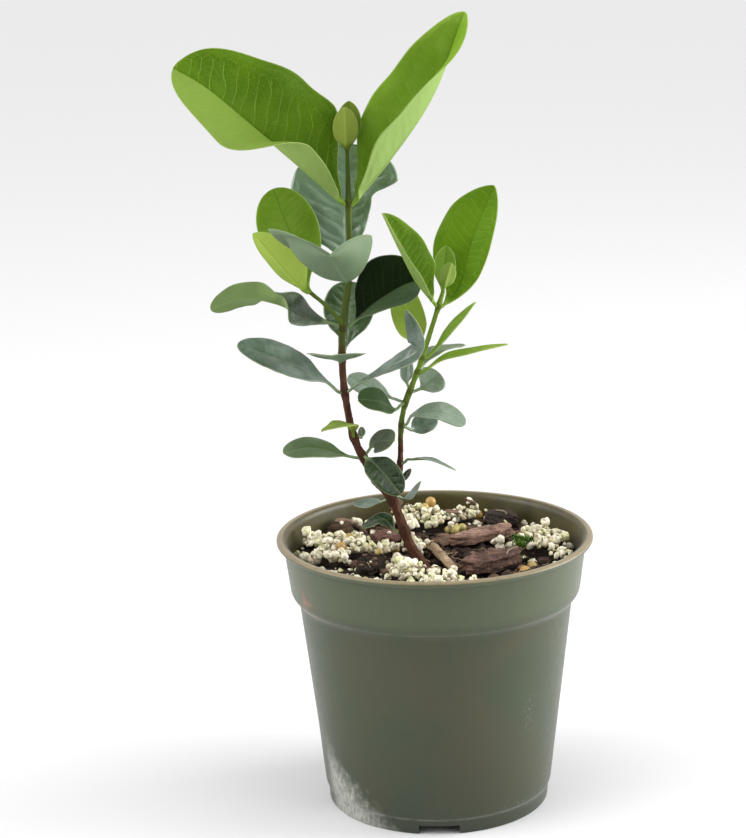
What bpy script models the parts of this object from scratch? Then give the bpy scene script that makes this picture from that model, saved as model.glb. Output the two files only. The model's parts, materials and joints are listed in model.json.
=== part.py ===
"""Young pineapple guava in a nursery pot: the pot, its potting mix and the plant."""
import math
import random
from dataclasses import dataclass

import bmesh
import bpy
from mathutils import Matrix, Vector

# All sizes are in millimetres until a mesh is made. The origin is the middle of the
# pot's underside, +Z is up, and -Y is the side that the plant's two branches are seen from.
MM = 0.001
CLEAR = 0.35

# Pot
POT_HEIGHT = 99.4
LIP_RADIUS = 57.15
LIP_DROP = 2.0
LIP_ROUND = 1.3
COLLAR_TOP_RADIUS = 54.6
COLLAR_FOOT_RADIUS = 52.4
COLLAR_FOOT_HEIGHT = 79.2
BODY_TOP_RADIUS = 49.4
BODY_TOP_HEIGHT = 76.0
BODY_FOOT_RADIUS = 41.3
BODY_FOOT_HEIGHT = 6.0
FOOT_RADIUS = 40.2
WALL = 1.2
FLOOR_UNDERSIDE = 3.3
FLOOR_TOP = 4.8
FOOT_RING_WIDTH = 2.6
CENTRE_PAD_RADIUS = 9.0
CENTRE_PAD_FLARE = 1.2
POT_SIDES = 48
NOTCH_COUNT = 3
NOTCH_WIDTH = 14.5
NOTCH_HEIGHT = 3.3
DRAIN_COUNT = 6
DRAIN_RADIUS = 4.2
DRAIN_CIRCLE = 27.0

# Potting mix
SOIL_HEIGHT = 89.6
SOIL_RINGS = 9
SOIL_BACK_RISE = 1.6
SOIL_WAVE = 0.45

# Woody stems: each path runs through its leaf nodes
TRUNK_FOOT = Vector((-3.6, -11.0, 90.0))
TRUNK_LEAN = Vector((-5.3, 2.0, 8.2)).normalized()
ROOT_DEPTH = 7.0
TRUNK_PATH = {
    "trunk_low": (-10.7, -8.2, 103.0),
    "fork": (-15.0, -6.0, 114.5),
    "bend": (-20.6, -5.0, 121.0),
    "n0": (-25.0, -4.2, 129.8),
    "n1": (-28.2, -3.0, 136.8),
    "n2": (-31.0, -0.5, 152.4),
    "n3": (-31.6, 0.0, 165.2),
    "n4": (-31.2, 0.0, 175.8),
    "n5": (-28.4, 0.0, 195.6),
    "n6": (-28.0, 0.0, 219.8),
    "bud": (-28.0, 0.0, 238.5),
}
BRANCH_PATH = {
    "fork": (-15.0, -6.0, 114.5),
    "low": (-12.6, -4.0, 119.6),
    "a0": (-11.8, -2.5, 126.4),
    "a": (-11.2, 0.0, 139.8),
    "b": (-9.6, 0.4, 147.8),
    "b2": (-7.9, 0.6, 152.2),
    "c": (-5.0, 1.0, 159.2),
    "c2": (-3.3, 1.2, 164.2),
    "d": (2.8, 2.0, 182.4),
    "d1": (4.6, 2.6, 188.2),
}
TWIG_PATH = {
    "foot": (-31.0, 0.0, 177.2),
    "mid": (-36.6, -1.2, 184.0),
    "twig": (-42.6, -2.4, 189.6),
}
TRUNK_RADII = (2.2, 2.15, 1.9, 1.8, 1.75, 1.5, 1.45, 1.4, 1.35, 1.35, 1.3, 1.2, 1.1, 0.7)
BRANCH_RADII = (1.3, 1.15, 1.0, 1.0, 1.0, 1.0, 1.0, 0.95, 0.95, 0.8)
TWIG_RADII = (0.9, 0.7, 0.85)
NODE_SWELLING = 1.28
STEM_STEP = 3.2

# Leaves
BLADE_THICKNESS = 0.68
MIDRIB_THICKNESS = 1.1
PETIOLE_HALF_WIDTH = 0.6
LEAF_SEAT = 0.62
LEAF_STUB = 0.8
BROAD_ROWS = (0.1, 0.26, 0.44, 0.62, 0.79, 0.92, 0.985, 1.0)
SMALL_ROWS = (0.14, 0.38, 0.62, 0.84, 0.96, 1.0)
BROAD_LEAF = 15.0
WAVES = 3.2


@dataclass(frozen=True)
class Leaf:
    """A leaf: the node it grows from, its midrib, its open width and how it is folded.

    `up` holds the directions that the upper side faces, `fold` the angles that the
    halves rise by, and `left` and `right` what makes one half broader than the other,
    all in even steps from the leaf's foot to its tip.
    """
    node: str
    midrib: tuple
    width: float
    up: tuple
    fold: tuple = (12, 8)
    widest: float = 0.55
    foot: float = 0.95
    tip: float = 0.55
    petiole: float = 3.0
    curl: float = 0.0
    wave: float = 0.0
    left: tuple = (1, 1)
    right: tuple = (1, 1)
    tone: str = "mature"


LEAVES = {
    "leaf_top_left": Leaf(
        "n6", ((-48, -3, 237), (-73, -6, 260), (-86.5, -6, 269)), 44,
        ((0.51, -0.31, 0.8), (0.5, -0.35, 0.8), (0.31, -0.7, 0.65), (0.3, -0.74, 0.6)),
        (52, 48, 20, 16), 0.5, 0.62, 0.52, 3, 8, 0.9, (1, 1), (0.86, 1.22, 1.12, 1, 0.95), "young"),
    "leaf_top_right": Leaf(
        "n6", ((-12.6, 1, 236), (2, 3, 257), (13.5, 4, 285)), 35.5,
        ((-0.76, -0.38, 0.53), (-0.72, -0.45, 0.53), (-0.5, -0.78, 0.4)),
        (58, 52, 34, 22), 0.48, 0.6, 0.55, 3, 4, 0.7, (0.86, 1, 1, 0.95, 0.86), (1, 1), "young"),
    "leaf_back_broad": Leaf(
        "n5", ((-29.5, 8, 208), (-29, 14, 222), (-27, 19, 238)), 40,
        ((0, -0.9, 0.42), (0, -0.9, 0.42)),
        (12, 10, 6), 0.56, 0.62, 0.5, 4, 0, 0.9, (1, 1), (0.5, 0.46, 0.44, 0.46, 1.02, 1.15), "old"),
    "leaf_front_cupped": Leaf(
        "n5", ((-29, -13, 195.2), (-31.2, -27.5, 201.4), (-33.4, -42, 209.8)), 44,
        ((0, 0.35, 0.93), (0, 0.35, 0.93)),
        (12, 14), 0.52, 0.85, 0.55, 3, 52, 0, (0.78, 0.78), (1.16, 1.16), "old"),
    "leaf_twig_back": Leaf(
        "twig", ((-43.4, 1.0, 193), (-46.3, 2.7, 202), (-51, 5.2, 214.7), (-54.5, 6.6, 224.7)), 21.5,
        ((0.1, -0.93, 0.35), (0.1, -0.93, 0.35)),
        (12, 8), 0.58, 0.65, 0.5, 2, 0, 0.3, tone="young"),
    "leaf_twig_front": Leaf(
        "twig", ((-46.2, -4.8, 192.4), (-51.5, -4.3, 198.5), (-61.2, -4.2, 211)), 22,
        ((0.45, 0.75, 0.6), (0.45, 0.75, 0.6)),
        (28, 18), 0.45, 0.66, 0.7, 2.2, tone="young"),
    "leaf_4_right": Leaf(
        "n4", ((-20.5, 2, 183.5), (-10, 5.5, 189.2), (-4.2, 7, 190.8)), 27,
        ((-0.42, -0.68, 0.59), (-0.2, -0.75, 0.6)),
        (34, 28), 0.58, 0.62, 0.5, 6.5, 6, tone="old"),
    "leaf_4_left": Leaf(
        "n4", ((-44, -2, 180.5), (-54, -4, 186), (-66, -5, 188), (-77, -6, 184.5)), 13.5,
        ((0.2, -0.85, 0.45), (0.2, -0.85, 0.45), (0.2, -0.85, 0.45), (0, 0.1, 1),
         (0, 0.8, 0.55), (0, 0.85, 0.5), (0, 0.85, 0.45)),
        (14, 20, 32, 20, 10), 0.5, 0.5, 0.45, 4),
    "leaf_3_back": Leaf(
        "n3", ((-30, 6, 171), (-29, 12, 181), (-27.5, 16, 189)), 18.5,
        ((0, -0.85, 0.5), (0, -0.9, 0.4)),
        (18, 10), 0.6, 0.75, 0.45, 3, tone="old"),
    "leaf_3_front": Leaf(
        "n3", ((-32, -8, 165.5), (-33, -17, 168.8), (-34, -26, 171.8)), 21,
        ((0, 0.3, 0.95), (0, 0.3, 0.95)),
        (10, 4), 0.55, 0.8, 0.6, 3),
    "leaf_2_left": Leaf(
        "n2", ((-37, -2, 156.5), (-45, -4, 161.5), (-57, -6, 167.5), (-68, -7, 172)), 15.5,
        ((-0.2, -0.45, 0.87), (-0.2, -0.45, 0.87)),
        (14, 8), 0.55, 0.85, 0.55, 4, tone="blue"),
    "leaf_2_right": Leaf(
        "n2", ((-25.5, -3, 156.5), (-13, -7, 163.5), (-5, -10, 169), (-5.5, -11, 176),
               (-8.5, -10, 184)), 9,
        ((-0.3, -0.3, 0.9), (-0.3, -0.3, 0.9), (-0.5, -0.5, 0.6), (-0.6, -0.8, 0.1)),
        (14, 12), 0.5, 0.8, 0.6, 4, tone="blue"),
    "leaf_c_left": Leaf(
        "c2", ((-5.5, 4, 171), (-8.5, 7, 180), (-9.5, 8, 190)), 12,
        ((0.1, 0.95, 0.2), (0.1, 0.95, 0.2)),
        (8, 5), 0.5, 0.7, 0.55, 3, tone="young"),
    "leaf_c_upper": Leaf(
        "c2", ((2.5, 3, 168), (9, 2, 176), (16, 1, 184)), 8,
        ((-0.75, -0.2, 0.62), (-0.75, -0.2, 0.62)),
        (12, 8), 0.5, 0.9, 0.8, 3, tone="young"),
    "leaf_c_right": Leaf(
        "c", ((3.5, -1.5, 164), (15, -3, 167), (27, -5, 170)), 9,
        ((-0.2, -0.1, 0.97), (-0.1, 0.0, 1)),
        (15, 8), 0.45, 0.9, 0.8, 3, tone="young"),
    "leaf_c_back": Leaf(
        "c", ((1.5, 12, 164), (12, 22, 163.9)), 9,
        ((0, 0, 1), (0, 0, 1)),
        (10, 6), 0.55, 0.9, 0.6, 3),
    "leaf_d_left": Leaf(
        "d", ((-5, -2.6, 193.2), (-11, -7.5, 206.2), (-16, -10.5, 218.2)), 19,
        ((0.68, -0.49, 0.54), (0.68, -0.49, 0.54)),
        (52, 40), 0.5, 0.65, 0.65, 2.5, 0, 0.3, tone="young"),
    "leaf_d_right": Leaf(
        "d", ((10.4, 6.4, 189), (15, 8.5, 204), (23, 9, 224)), 20.5,
        ((-0.35, -0.85, 0.3), (-0.35, -0.85, 0.3)),
        (16, 10), 0.5, 0.65, 0.7, 2.5, 0, 0.6, (1.2, 1.35), (0.8, 0.75), "young"),
    "bud_d_back": Leaf(
        "d1", ((5, 5.6, 193.8), (6, 7, 203)), 8,
        ((0, -0.95, 0.2), (0, -0.95, 0.2)),
        (14, 10), 0.5, 0.7, 0.6, 1.5, tone="bud"),
    "bud_d_front": Leaf(
        "d1", ((5.5, -0.5, 192), (7.5, -0.5, 198.5)), 6,
        ((0, 0.95, 0.2), (0, 0.95, 0.2)),
        (14, 10), 0.5, 0.6, 0.55, 1.5, tone="bud"),
    "leaf_b_right": Leaf(
        "b2", ((-2.5, 2, 153.6), (3, 4, 157.6)), 12.5,
        ((0, -0.6, 0.8), (0, -0.6, 0.8)),
        (10, 8), 0.6, 0.7, 0.5, 2.5, tone="blue"),
    "leaf_b_back": Leaf(
        "b2", ((-9, 6, 155), (-8.5, 10, 161.5)), 5,
        ((-0.2, -0.85, 0.5), (-0.2, -0.85, 0.5)),
        (10, 8), 0.55, 0.8, 0.5, 2.5, tone="blue"),
    "leaf_b_left": Leaf(
        "b", ((-13.5, -3, 146.5), (-19, -7, 150.5), (-26, -10, 152)), 12.5,
        ((-0.1, -0.55, 0.83), (-0.1, -0.55, 0.83)),
        (12, 8), 0.58, 0.75, 0.5, 2.5),
    "leaf_b_left_back": Leaf(
        "b", ((-19, 6, 150.5), (-30, 9, 156)), 10,
        ((0.1, -0.5, 0.86), (0.1, -0.5, 0.86)),
        (10, 6), 0.62, 0.8, 0.5, 3, tone="blue"),
    "leaf_a_right": Leaf(
        "a", ((-6.5, -1, 144), (3, -4, 145.5), (11.5, -7, 141.5)), 8.8,
        ((0.0, -0.55, 0.83), (0.3, -0.6, 0.75)),
        (12, 8), 0.6, 0.75, 0.45, 3),
    "leaf_a_back": Leaf(
        "a", ((-6, 5, 137), (1, 10, 141)), 9,
        ((0, -0.6, 0.8), (0, -0.6, 0.8)),
        (10, 6), 0.6, 0.8, 0.5, 2.5, tone="blue"),
    "leaf_0_left": Leaf(
        "n0", ((-33, -7, 131.5), (-43, -9, 134.5), (-53, -11, 133.5)), 12.5,
        ((0, -0.35, 0.94), (0, -0.35, 0.94)),
        (10, 6), 0.6, 0.8, 0.5, 2.5),
    "leaf_0_right": Leaf(
        "n0", ((-20.4, -3.8, 134.5), (-13.5, -9.2, 136.9)), 10.5,
        ((-0.1, -0.65, 0.72), (-0.1, -0.65, 0.72)),
        (8, 6), 0.5, 0.6, 0.45, 2, tone="old"),
    "leaf_0_front": Leaf(
        "n0", ((-21.5, -10, 129), (-16.5, -14.5, 125), (-11.5, -18, 119.5)), 11.5,
        ((0.1, -0.65, 0.72), (0.1, -0.75, 0.6)),
        (12, 8), 0.5, 0.5, 0.5, 1.2, tone="old"),
    "leaf_1_front": Leaf(
        "n1", ((-29, -8, 142.5), (-33, -14, 144), (-39, -18, 143)), 9,
        ((0.2, 0.2, 0.96), (0.2, 0.2, 0.96)),
        (8, 5), 0.45, 0.7, 0.8, 3, tone="bud"),
    "leaf_1_back": Leaf(
        "n1", ((-25.4, 1.5, 135.5), (-25.8, 5.5, 138)), 3.6,
        ((-0.6, -0.5, 0.6), (-0.6, -0.5, 0.6)),
        (10, 6), 0.5, 0.9, 0.6, 1.5, tone="old"),
    "leaf_fork_left": Leaf(
        "fork", ((-21, -1.5, 111.5), (-29, 2, 110.5)), 6.5,
        ((0, -0.3, 0.95), (0, -0.3, 0.95)),
        (8, 6), 0.5, 0.8, 0.6, 2, tone="blue"),
    "leaf_low_left": Leaf(
        "trunk_low", ((-18.5, -4.5, 106.6), (-26, -3, 102.8)), 6.5,
        ((-0.2, -0.35, 0.9), (-0.2, -0.35, 0.9)),
        (8, 6), 0.5, 0.8, 0.7, 2, tone="old"),
    "leaf_fork_right": Leaf(
        "fork", ((-9, -2, 113.2), (-4.5, 0, 119)), 5.5,
        ((-0.4, -0.1, 0.9), (-0.4, -0.1, 0.9)),
        (8, 6), 0.5, 0.9, 0.7, 2, tone="blue"),
    "leaf_low_tiny": Leaf(
        "low", ((-10, -0.5, 121), (-8, 1, 123.5)), 3,
        ((-0.4, -0.6, 0.6), (-0.4, -0.6, 0.6)),
        (8, 6), 0.5, 0.9, 0.7, 1, tone="old"),
    "leaf_branch_thin": Leaf(
        "a0", ((-8.5, -4.5, 128.5), (-1, -7, 129), (8, -9, 125.5)), 6.5,
        ((0.1, 0.1, 0.98), (0.3, 0.1, 0.9)),
        (8, 5), 0.5, 0.9, 0.7, 3, tone="blue"),
    "bud_top_front": Leaf(
        "bud", ((-28.3, -2.6, 243), (-28.3, -2.2, 254)), 9,
        ((0, 0.98, -0.05), (0, 0.98, -0.05)),
        (18, 14), 0.5, 0.7, 0.65, 1, tone="bud"),
    "bud_top_back": Leaf(
        "bud", ((-27.2, 2.6, 243), (-27, 2.2, 255.5)), 8.6,
        ((0, -0.98, -0.05), (0, -0.98, -0.05)),
        (14, 10), 0.55, 0.7, 0.65, 1, tone="bud"),
}

# Colours, linear RGB, with roughness
FINISHES = {
    "pot": ((0.125, 0.15, 0.105), 0.55),
    "soil": ((0.035, 0.022, 0.014), 0.95),
    "wood": ((0.10, 0.045, 0.028), 0.8),
    "bark": ((0.12, 0.07, 0.045), 0.9),
    "stick": ((0.42, 0.29, 0.17), 0.8),
    "perlite": ((0.72, 0.70, 0.58), 0.9),
    "prill": ((0.55, 0.38, 0.13), 0.4),
    "young": ((0.12, 0.30, 0.02), 0.45),
    "mature": ((0.06, 0.13, 0.04), 0.4),
    "old": ((0.02, 0.055, 0.018), 0.35),
    "blue": ((0.09, 0.15, 0.10), 0.3),
    "bud": ((0.24, 0.33, 0.07), 0.5),
}

# Things that lie on the potting mix: place, heading in degrees and size
BARK = {
    "bark_slab": ((17.5, 18.5), 32, (28, 12, 4.5), 7),
    "bark_front": ((20.5, -14.5), 36, (26, 12, 6), 11),
    "bark_back": ((25.5, 36.5), -28, (14, 7.5, 6), 5),
    "bark_red": ((-17, 19), 20, (13, 8, 4), 8),
    "bark_left": ((-35, 29), 50, (12, 6.5, 5), 3),
    "bark_clump": ((-23, -14), 75, (20, 9, 4), 9),
}
STICK_ENDS = ((-1.5, 10.0), (6.5, -19.0))
STICK_RADIUS = 1.75
PERLITE = {
    "perlite_left": ((-41, 3), 27, 31, 21),
    "perlite_back": ((-6, 40), 24, 22, 22),
    "perlite_right": ((43, 4), 24, 25, 23),
    "perlite_front": ((-9, -36), 28, 27, 24),
    "perlite_middle": ((-8, 6), 11, 7, 25),
}
GRAIN_RADIUS = (2.2, 3.6)
GRAIN_SPACING = 0.7
GRAIN_CROWDING = 0.66
PRILLS = {
    "prills_back": ((12, 33), 4, 31),
    "prills_left": ((-30, 21), 3, 32),
    "prills_front": ((-25, -33), 3, 33),
}
PRILL_RADIUS = 1.7
PRILL_REACH = 12.0
STEM_KEEP_OUT = 6.5
WALL_KEEP_OUT = 1.2
PIECE_GAP = 0.5


def clear_scene():
    for old in list(bpy.data.objects):
        bpy.data.objects.remove(old, do_unlink=True)


def new_collection(name):
    made = bpy.data.collections.new(name)
    bpy.context.scene.collection.children.link(made)
    return made


def finish(name, look):
    colour, roughness = FINISHES[look]
    material = bpy.data.materials.new(name)
    material.use_nodes = True
    shader = material.node_tree.nodes["Principled BSDF"]
    shader.inputs["Base Color"].default_value = (*colour, 1.0)
    shader.inputs["Roughness"].default_value = roughness
    material.diffuse_color = (*colour, 1.0)
    return material


def add_object(name, mesh, look, collection):
    made = bpy.data.objects.new(name, mesh)
    collection.objects.link(made)
    mesh.materials.clear()
    mesh.materials.append(finish(name, look))
    return made


def mesh_from(bm, name, smooth_angle=None):
    bmesh.ops.recalc_face_normals(bm, faces=bm.faces)
    mesh = bpy.data.meshes.new(name)
    bm.to_mesh(mesh)
    bm.free()
    if smooth_angle is not None:
        mesh.shade_smooth()
        mesh.set_sharp_from_angle(angle=math.radians(smooth_angle))
    return mesh


def evaluated_mesh(source, name):
    """The finished mesh of an object with its modifiers, in world space, welded."""
    bpy.context.view_layer.update()
    seen = source.evaluated_get(bpy.context.evaluated_depsgraph_get())
    mesh = bpy.data.meshes.new_from_object(seen)
    mesh.name = name
    mesh.transform(source.matrix_world)
    bm = bmesh.new()
    bm.from_mesh(mesh)
    bmesh.ops.remove_doubles(bm, verts=bm.verts, dist=1e-6)
    bm.to_mesh(mesh)
    bm.free()
    return mesh


def boolean(target, operation, *, cutter=None, group=None):
    cut = target.modifiers.new(operation.lower(), "BOOLEAN")
    cut.operation = operation
    cut.solver = "EXACT"
    if group is None:
        cut.object = cutter
    else:
        cut.operand_type = "COLLECTION"
        cut.collection = group


def as_cutter(shape):
    shape.hide_render = True
    shape.display_type = "WIRE"


def turned(name, profile, steps, look, collection):
    """A profile of (radius, height) points, outer side first, turned about Z."""
    bm = bmesh.new()
    corners = [bm.verts.new((radius * MM, 0, height * MM)) for radius, height in profile]
    for lower, upper in zip(corners, corners[1:]):
        bm.edges.new((lower, upper))
    mesh = bpy.data.meshes.new(name)
    bm.to_mesh(mesh)
    bm.free()
    made = add_object(name, mesh, look, collection)
    screw = made.modifiers.new("turn", "SCREW")
    screw.steps = steps
    screw.render_steps = steps
    screw.use_merge_vertices = True
    screw.merge_threshold = 1e-6
    screw.use_smooth_shade = True
    return made


def pot_inner_radius(height):
    """Radius of the pot's inner wall at a height."""
    stations = (
        (BODY_FOOT_HEIGHT, BODY_FOOT_RADIUS),
        (BODY_TOP_HEIGHT, BODY_TOP_RADIUS),
        (COLLAR_FOOT_HEIGHT, COLLAR_FOOT_RADIUS),
        (POT_HEIGHT, COLLAR_TOP_RADIUS),
    )
    for (z0, r0), (z1, r1) in zip(stations, stations[1:]):
        if height <= z1:
            return r0 + (r1 - r0) * (height - z0) / (z1 - z0) - WALL
    return COLLAR_TOP_RADIUS - WALL


def make_pot(parts, cutters):
    recess = FOOT_RADIUS - FOOT_RING_WIDTH
    wall_top = COLLAR_TOP_RADIUS - WALL
    profile = (
        (wall_top, POT_HEIGHT - 0.8 * LIP_ROUND),
        (wall_top + 0.6 * LIP_ROUND, POT_HEIGHT - 0.1 * LIP_ROUND),
        (LIP_RADIUS - LIP_ROUND, POT_HEIGHT),
        (LIP_RADIUS - 0.25 * LIP_ROUND, POT_HEIGHT - 0.4 * LIP_ROUND),
        (LIP_RADIUS, POT_HEIGHT - LIP_ROUND),
        (LIP_RADIUS - 0.3 * LIP_ROUND, POT_HEIGHT - LIP_DROP),
        (COLLAR_TOP_RADIUS, POT_HEIGHT - LIP_DROP - 0.3 * LIP_ROUND),
        (COLLAR_FOOT_RADIUS, COLLAR_FOOT_HEIGHT),
        (BODY_TOP_RADIUS, BODY_TOP_HEIGHT),
        (BODY_FOOT_RADIUS, BODY_FOOT_HEIGHT),
        (FOOT_RADIUS + 0.3, BODY_FOOT_HEIGHT - 0.5),
        (FOOT_RADIUS, 0.0),
        (recess, 0.0),
        (recess, FLOOR_UNDERSIDE),
        (CENTRE_PAD_RADIUS + CENTRE_PAD_FLARE, FLOOR_UNDERSIDE),
        (CENTRE_PAD_RADIUS, 0.0),
        (0.0, 0.0),
    )
    inside = (
        (0.0, FLOOR_TOP),
        (FOOT_RADIUS - WALL, FLOOR_TOP),
        (pot_inner_radius(BODY_FOOT_HEIGHT) + 0.05, BODY_FOOT_HEIGHT + 0.6),
        (pot_inner_radius(BODY_TOP_HEIGHT), BODY_TOP_HEIGHT + 0.4),
        (pot_inner_radius(COLLAR_FOOT_HEIGHT), COLLAR_FOOT_HEIGHT + 0.5),
        (wall_top, POT_HEIGHT - 0.8 * LIP_ROUND),
    )
    pot = turned("pot", profile + inside, POT_SIDES, "pot", parts)
    for number in range(NOTCH_COUNT):
        turn = Matrix.Rotation(math.tau * number / NOTCH_COUNT, 4, "Z")
        bm = bmesh.new()
        bmesh.ops.create_cube(bm, size=1.0)
        size = Matrix.Diagonal((NOTCH_WIDTH * MM, 8 * MM, (NOTCH_HEIGHT + 1) * MM, 1))
        shift = Matrix.Translation((0, -FOOT_RADIUS * MM, (NOTCH_HEIGHT - 1) / 2 * MM))
        bmesh.ops.transform(bm, matrix=turn @ shift @ size, verts=bm.verts)
        notch = add_object(f"notch_{number}", mesh_from(bm, f"notch_{number}"), "pot", cutters)
        as_cutter(notch)
    for number in range(DRAIN_COUNT):
        turn = Matrix.Rotation(math.tau * number / DRAIN_COUNT, 4, "Z")
        bm = bmesh.new()
        bmesh.ops.create_cone(bm, cap_ends=True, segments=12, radius1=DRAIN_RADIUS * MM,
                              radius2=DRAIN_RADIUS * MM, depth=8 * MM)
        shift = Matrix.Translation((0, -DRAIN_CIRCLE * MM, FLOOR_TOP * MM))
        bmesh.ops.transform(bm, matrix=turn @ shift, verts=bm.verts)
        drain = add_object(f"drain_{number}", mesh_from(bm, f"drain_{number}"), "pot", cutters)
        as_cutter(drain)
    boolean(pot, "DIFFERENCE", group=cutters)
    return pot


def soil_top(x, y):
    """Height of the potting mix: low waves, rising a little to the back wall."""
    rise = SOIL_BACK_RISE * max(0.0, (y - 10) / 42) ** 2
    waves = math.sin(x / 8.5 + 0.6) * math.cos(y / 9.5 - 0.4) + 0.5 * math.sin((x + y) / 6.0)
    return SOIL_HEIGHT + rise + SOIL_WAVE * waves


def make_soil(parts, cutters):
    rim = pot_inner_radius(SOIL_HEIGHT) - CLEAR
    top = [(rim * ring / SOIL_RINGS, SOIL_HEIGHT) for ring in range(SOIL_RINGS + 1)]
    profile = top + [
        (pot_inner_radius(COLLAR_FOOT_HEIGHT) - CLEAR, COLLAR_FOOT_HEIGHT + 0.7),
        (pot_inner_radius(BODY_TOP_HEIGHT) - CLEAR, BODY_TOP_HEIGHT + 0.7),
        (pot_inner_radius(BODY_FOOT_HEIGHT) - CLEAR, BODY_FOOT_HEIGHT + 0.8),
        (FOOT_RADIUS - WALL - 3 * CLEAR, FLOOR_TOP + CLEAR),
        (0.0, FLOOR_TOP + CLEAR),
    ]
    blank = turned("soil_blank", profile, POT_SIDES, "soil", parts)
    mesh = evaluated_mesh(blank, "soil")
    bpy.data.objects.remove(blank, do_unlink=True)
    for point in mesh.vertices:
        if point.co.z > (SOIL_HEIGHT - 1) * MM:
            point.co.z = soil_top(point.co.x / MM, point.co.y / MM) * MM
    soil = add_object("potting_mix", mesh, "soil", parts)
    hole_length = ROOT_DEPTH + CLEAR + 8
    bm = bmesh.new()
    bmesh.ops.create_cone(bm, cap_ends=True, segments=16, depth=hole_length * MM,
                          radius1=(TRUNK_RADII[0] + CLEAR) * MM,
                          radius2=(TRUNK_RADII[0] + CLEAR) * MM)
    middle = TRUNK_FOOT + TRUNK_LEAN * (hole_length / 2 - ROOT_DEPTH - CLEAR)
    turn = TRUNK_LEAN.to_track_quat("Z", "Y").to_matrix().to_4x4()
    bmesh.ops.transform(bm, matrix=Matrix.Translation(middle * MM) @ turn, verts=bm.verts)
    hole = add_object("stem_hole", mesh_from(bm, "stem_hole"), "soil", cutters)
    as_cutter(hole)
    boolean(soil, "DIFFERENCE", cutter=hole)
    return soil


def smooth_path(points, step):
    """Points every `step` along a smooth curve through the given ones."""
    ends = [points[0] * 2 - points[1]] + list(points) + [points[-1] * 2 - points[-2]]
    path = []
    for before, start, end, after in zip(ends, ends[1:], ends[2:], ends[3:]):
        count = max(1, round((end - start).length / step))
        for index in range(count):
            t = index / count
            path.append(0.5 * (2 * start + (end - before) * t
                               + (2 * before - 5 * start + 4 * end - after) * t * t
                               + (3 * start - before - 3 * end + after) * t ** 3))
    path.append(points[-1])
    return path


def blend(values, t):
    """A value read from even steps, at t from 0 to 1."""
    place = t * (len(values) - 1)
    index = min(int(place), len(values) - 2)
    share = place - index
    share = share * share * (3 - 2 * share)
    return values[index] * (1 - share) + values[index + 1] * share


def stem_tube(name, base, nodes, radii, collection):
    """A tapering stem that swells at each of its nodes."""
    knots = [Vector(point) for point in nodes.values()]
    points = base + knots
    swollen = knots[0 if base else 1:-1]
    path = smooth_path(points, STEM_STEP)
    curve = bpy.data.curves.new(name, "CURVE")
    curve.dimensions = "3D"
    curve.bevel_depth = MM
    curve.bevel_resolution = 2
    curve.use_fill_caps = True
    spline = curve.splines.new("POLY")
    spline.points.add(len(path) - 1)
    for index, (control, place) in enumerate(zip(spline.points, path)):
        control.co = (*(place * MM), 1.0)
        radius = nearest_radius(place, points, radii)
        if any((place - knot).length < 0.05 for knot in swollen):
            radius *= NODE_SWELLING
        control.radius = radius
    tube = bpy.data.objects.new(name, curve)
    collection.objects.link(tube)
    mesh = evaluated_mesh(tube, name)
    bpy.data.objects.remove(tube, do_unlink=True)
    made = bpy.data.objects.new(name, mesh)
    collection.objects.link(made)
    return made


def nearest_radius(place, points, radii):
    """The radius at a place, from the two path points that it lies between."""
    order = sorted(range(len(points)), key=lambda i: (points[i] - place).length)
    first, second = order[0], order[1]
    a, b = (points[first] - place).length, (points[second] - place).length
    return (radii[first] * b + radii[second] * a) / (a + b)


def make_stems(parts):
    """Trunk, right branch and side twig, grown together as one solid."""
    spare = new_collection("stem_pieces")
    root = TRUNK_FOOT - TRUNK_LEAN * ROOT_DEPTH
    low = TRUNK_FOOT + TRUNK_LEAN * 9.5
    trunk = stem_tube("woody_stem", [root, TRUNK_FOOT, low], TRUNK_PATH, TRUNK_RADII, parts)
    stem_tube("branch_piece", [], BRANCH_PATH, BRANCH_RADII, spare)
    stem_tube("twig_piece", [], TWIG_PATH, TWIG_RADII, spare)
    boolean(trunk, "UNION", group=spare)
    mesh = evaluated_mesh(trunk, "woody_stem")
    bpy.data.objects.remove(trunk, do_unlink=True)
    for piece in list(spare.objects):
        bpy.data.objects.remove(piece, do_unlink=True)
    bpy.data.collections.remove(spare)
    return add_object("woody_stem", mesh, "wood", parts)


def node_places():
    """Every leaf node with its place, the stem's radius and the stem's direction there."""
    places = {}
    for path, radii in ((TRUNK_PATH, TRUNK_RADII[3:]), (BRANCH_PATH, BRANCH_RADII),
                        (TWIG_PATH, TWIG_RADII)):
        points = [Vector(place) for place in path.values()]
        last = len(points) - 1
        for index, (name, place) in enumerate(zip(path, points)):
            along = (points[min(index + 1, last)] - points[max(index - 1, 0)]).normalized()
            radius = radii[index] * (NODE_SWELLING if index < last else 1.0)
            places.setdefault(name, (place, radius, along))
    return places


def blade_half_width(leaf, along):
    """Half the leaf's width at a share of the blade's length, foot to tip."""
    if along <= 0.0:
        return PETIOLE_HALF_WIDTH
    warped = along ** (math.log(0.5) / math.log(leaf.widest))
    power = leaf.foot if warped < 0.5 else leaf.tip
    shape = max(0.0, 4 * warped * (1 - warped)) ** power
    half = leaf.width / 2 * shape
    return max(half, PETIOLE_HALF_WIDTH * (1 - along)) if along < 1.0 else 0.0


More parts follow.
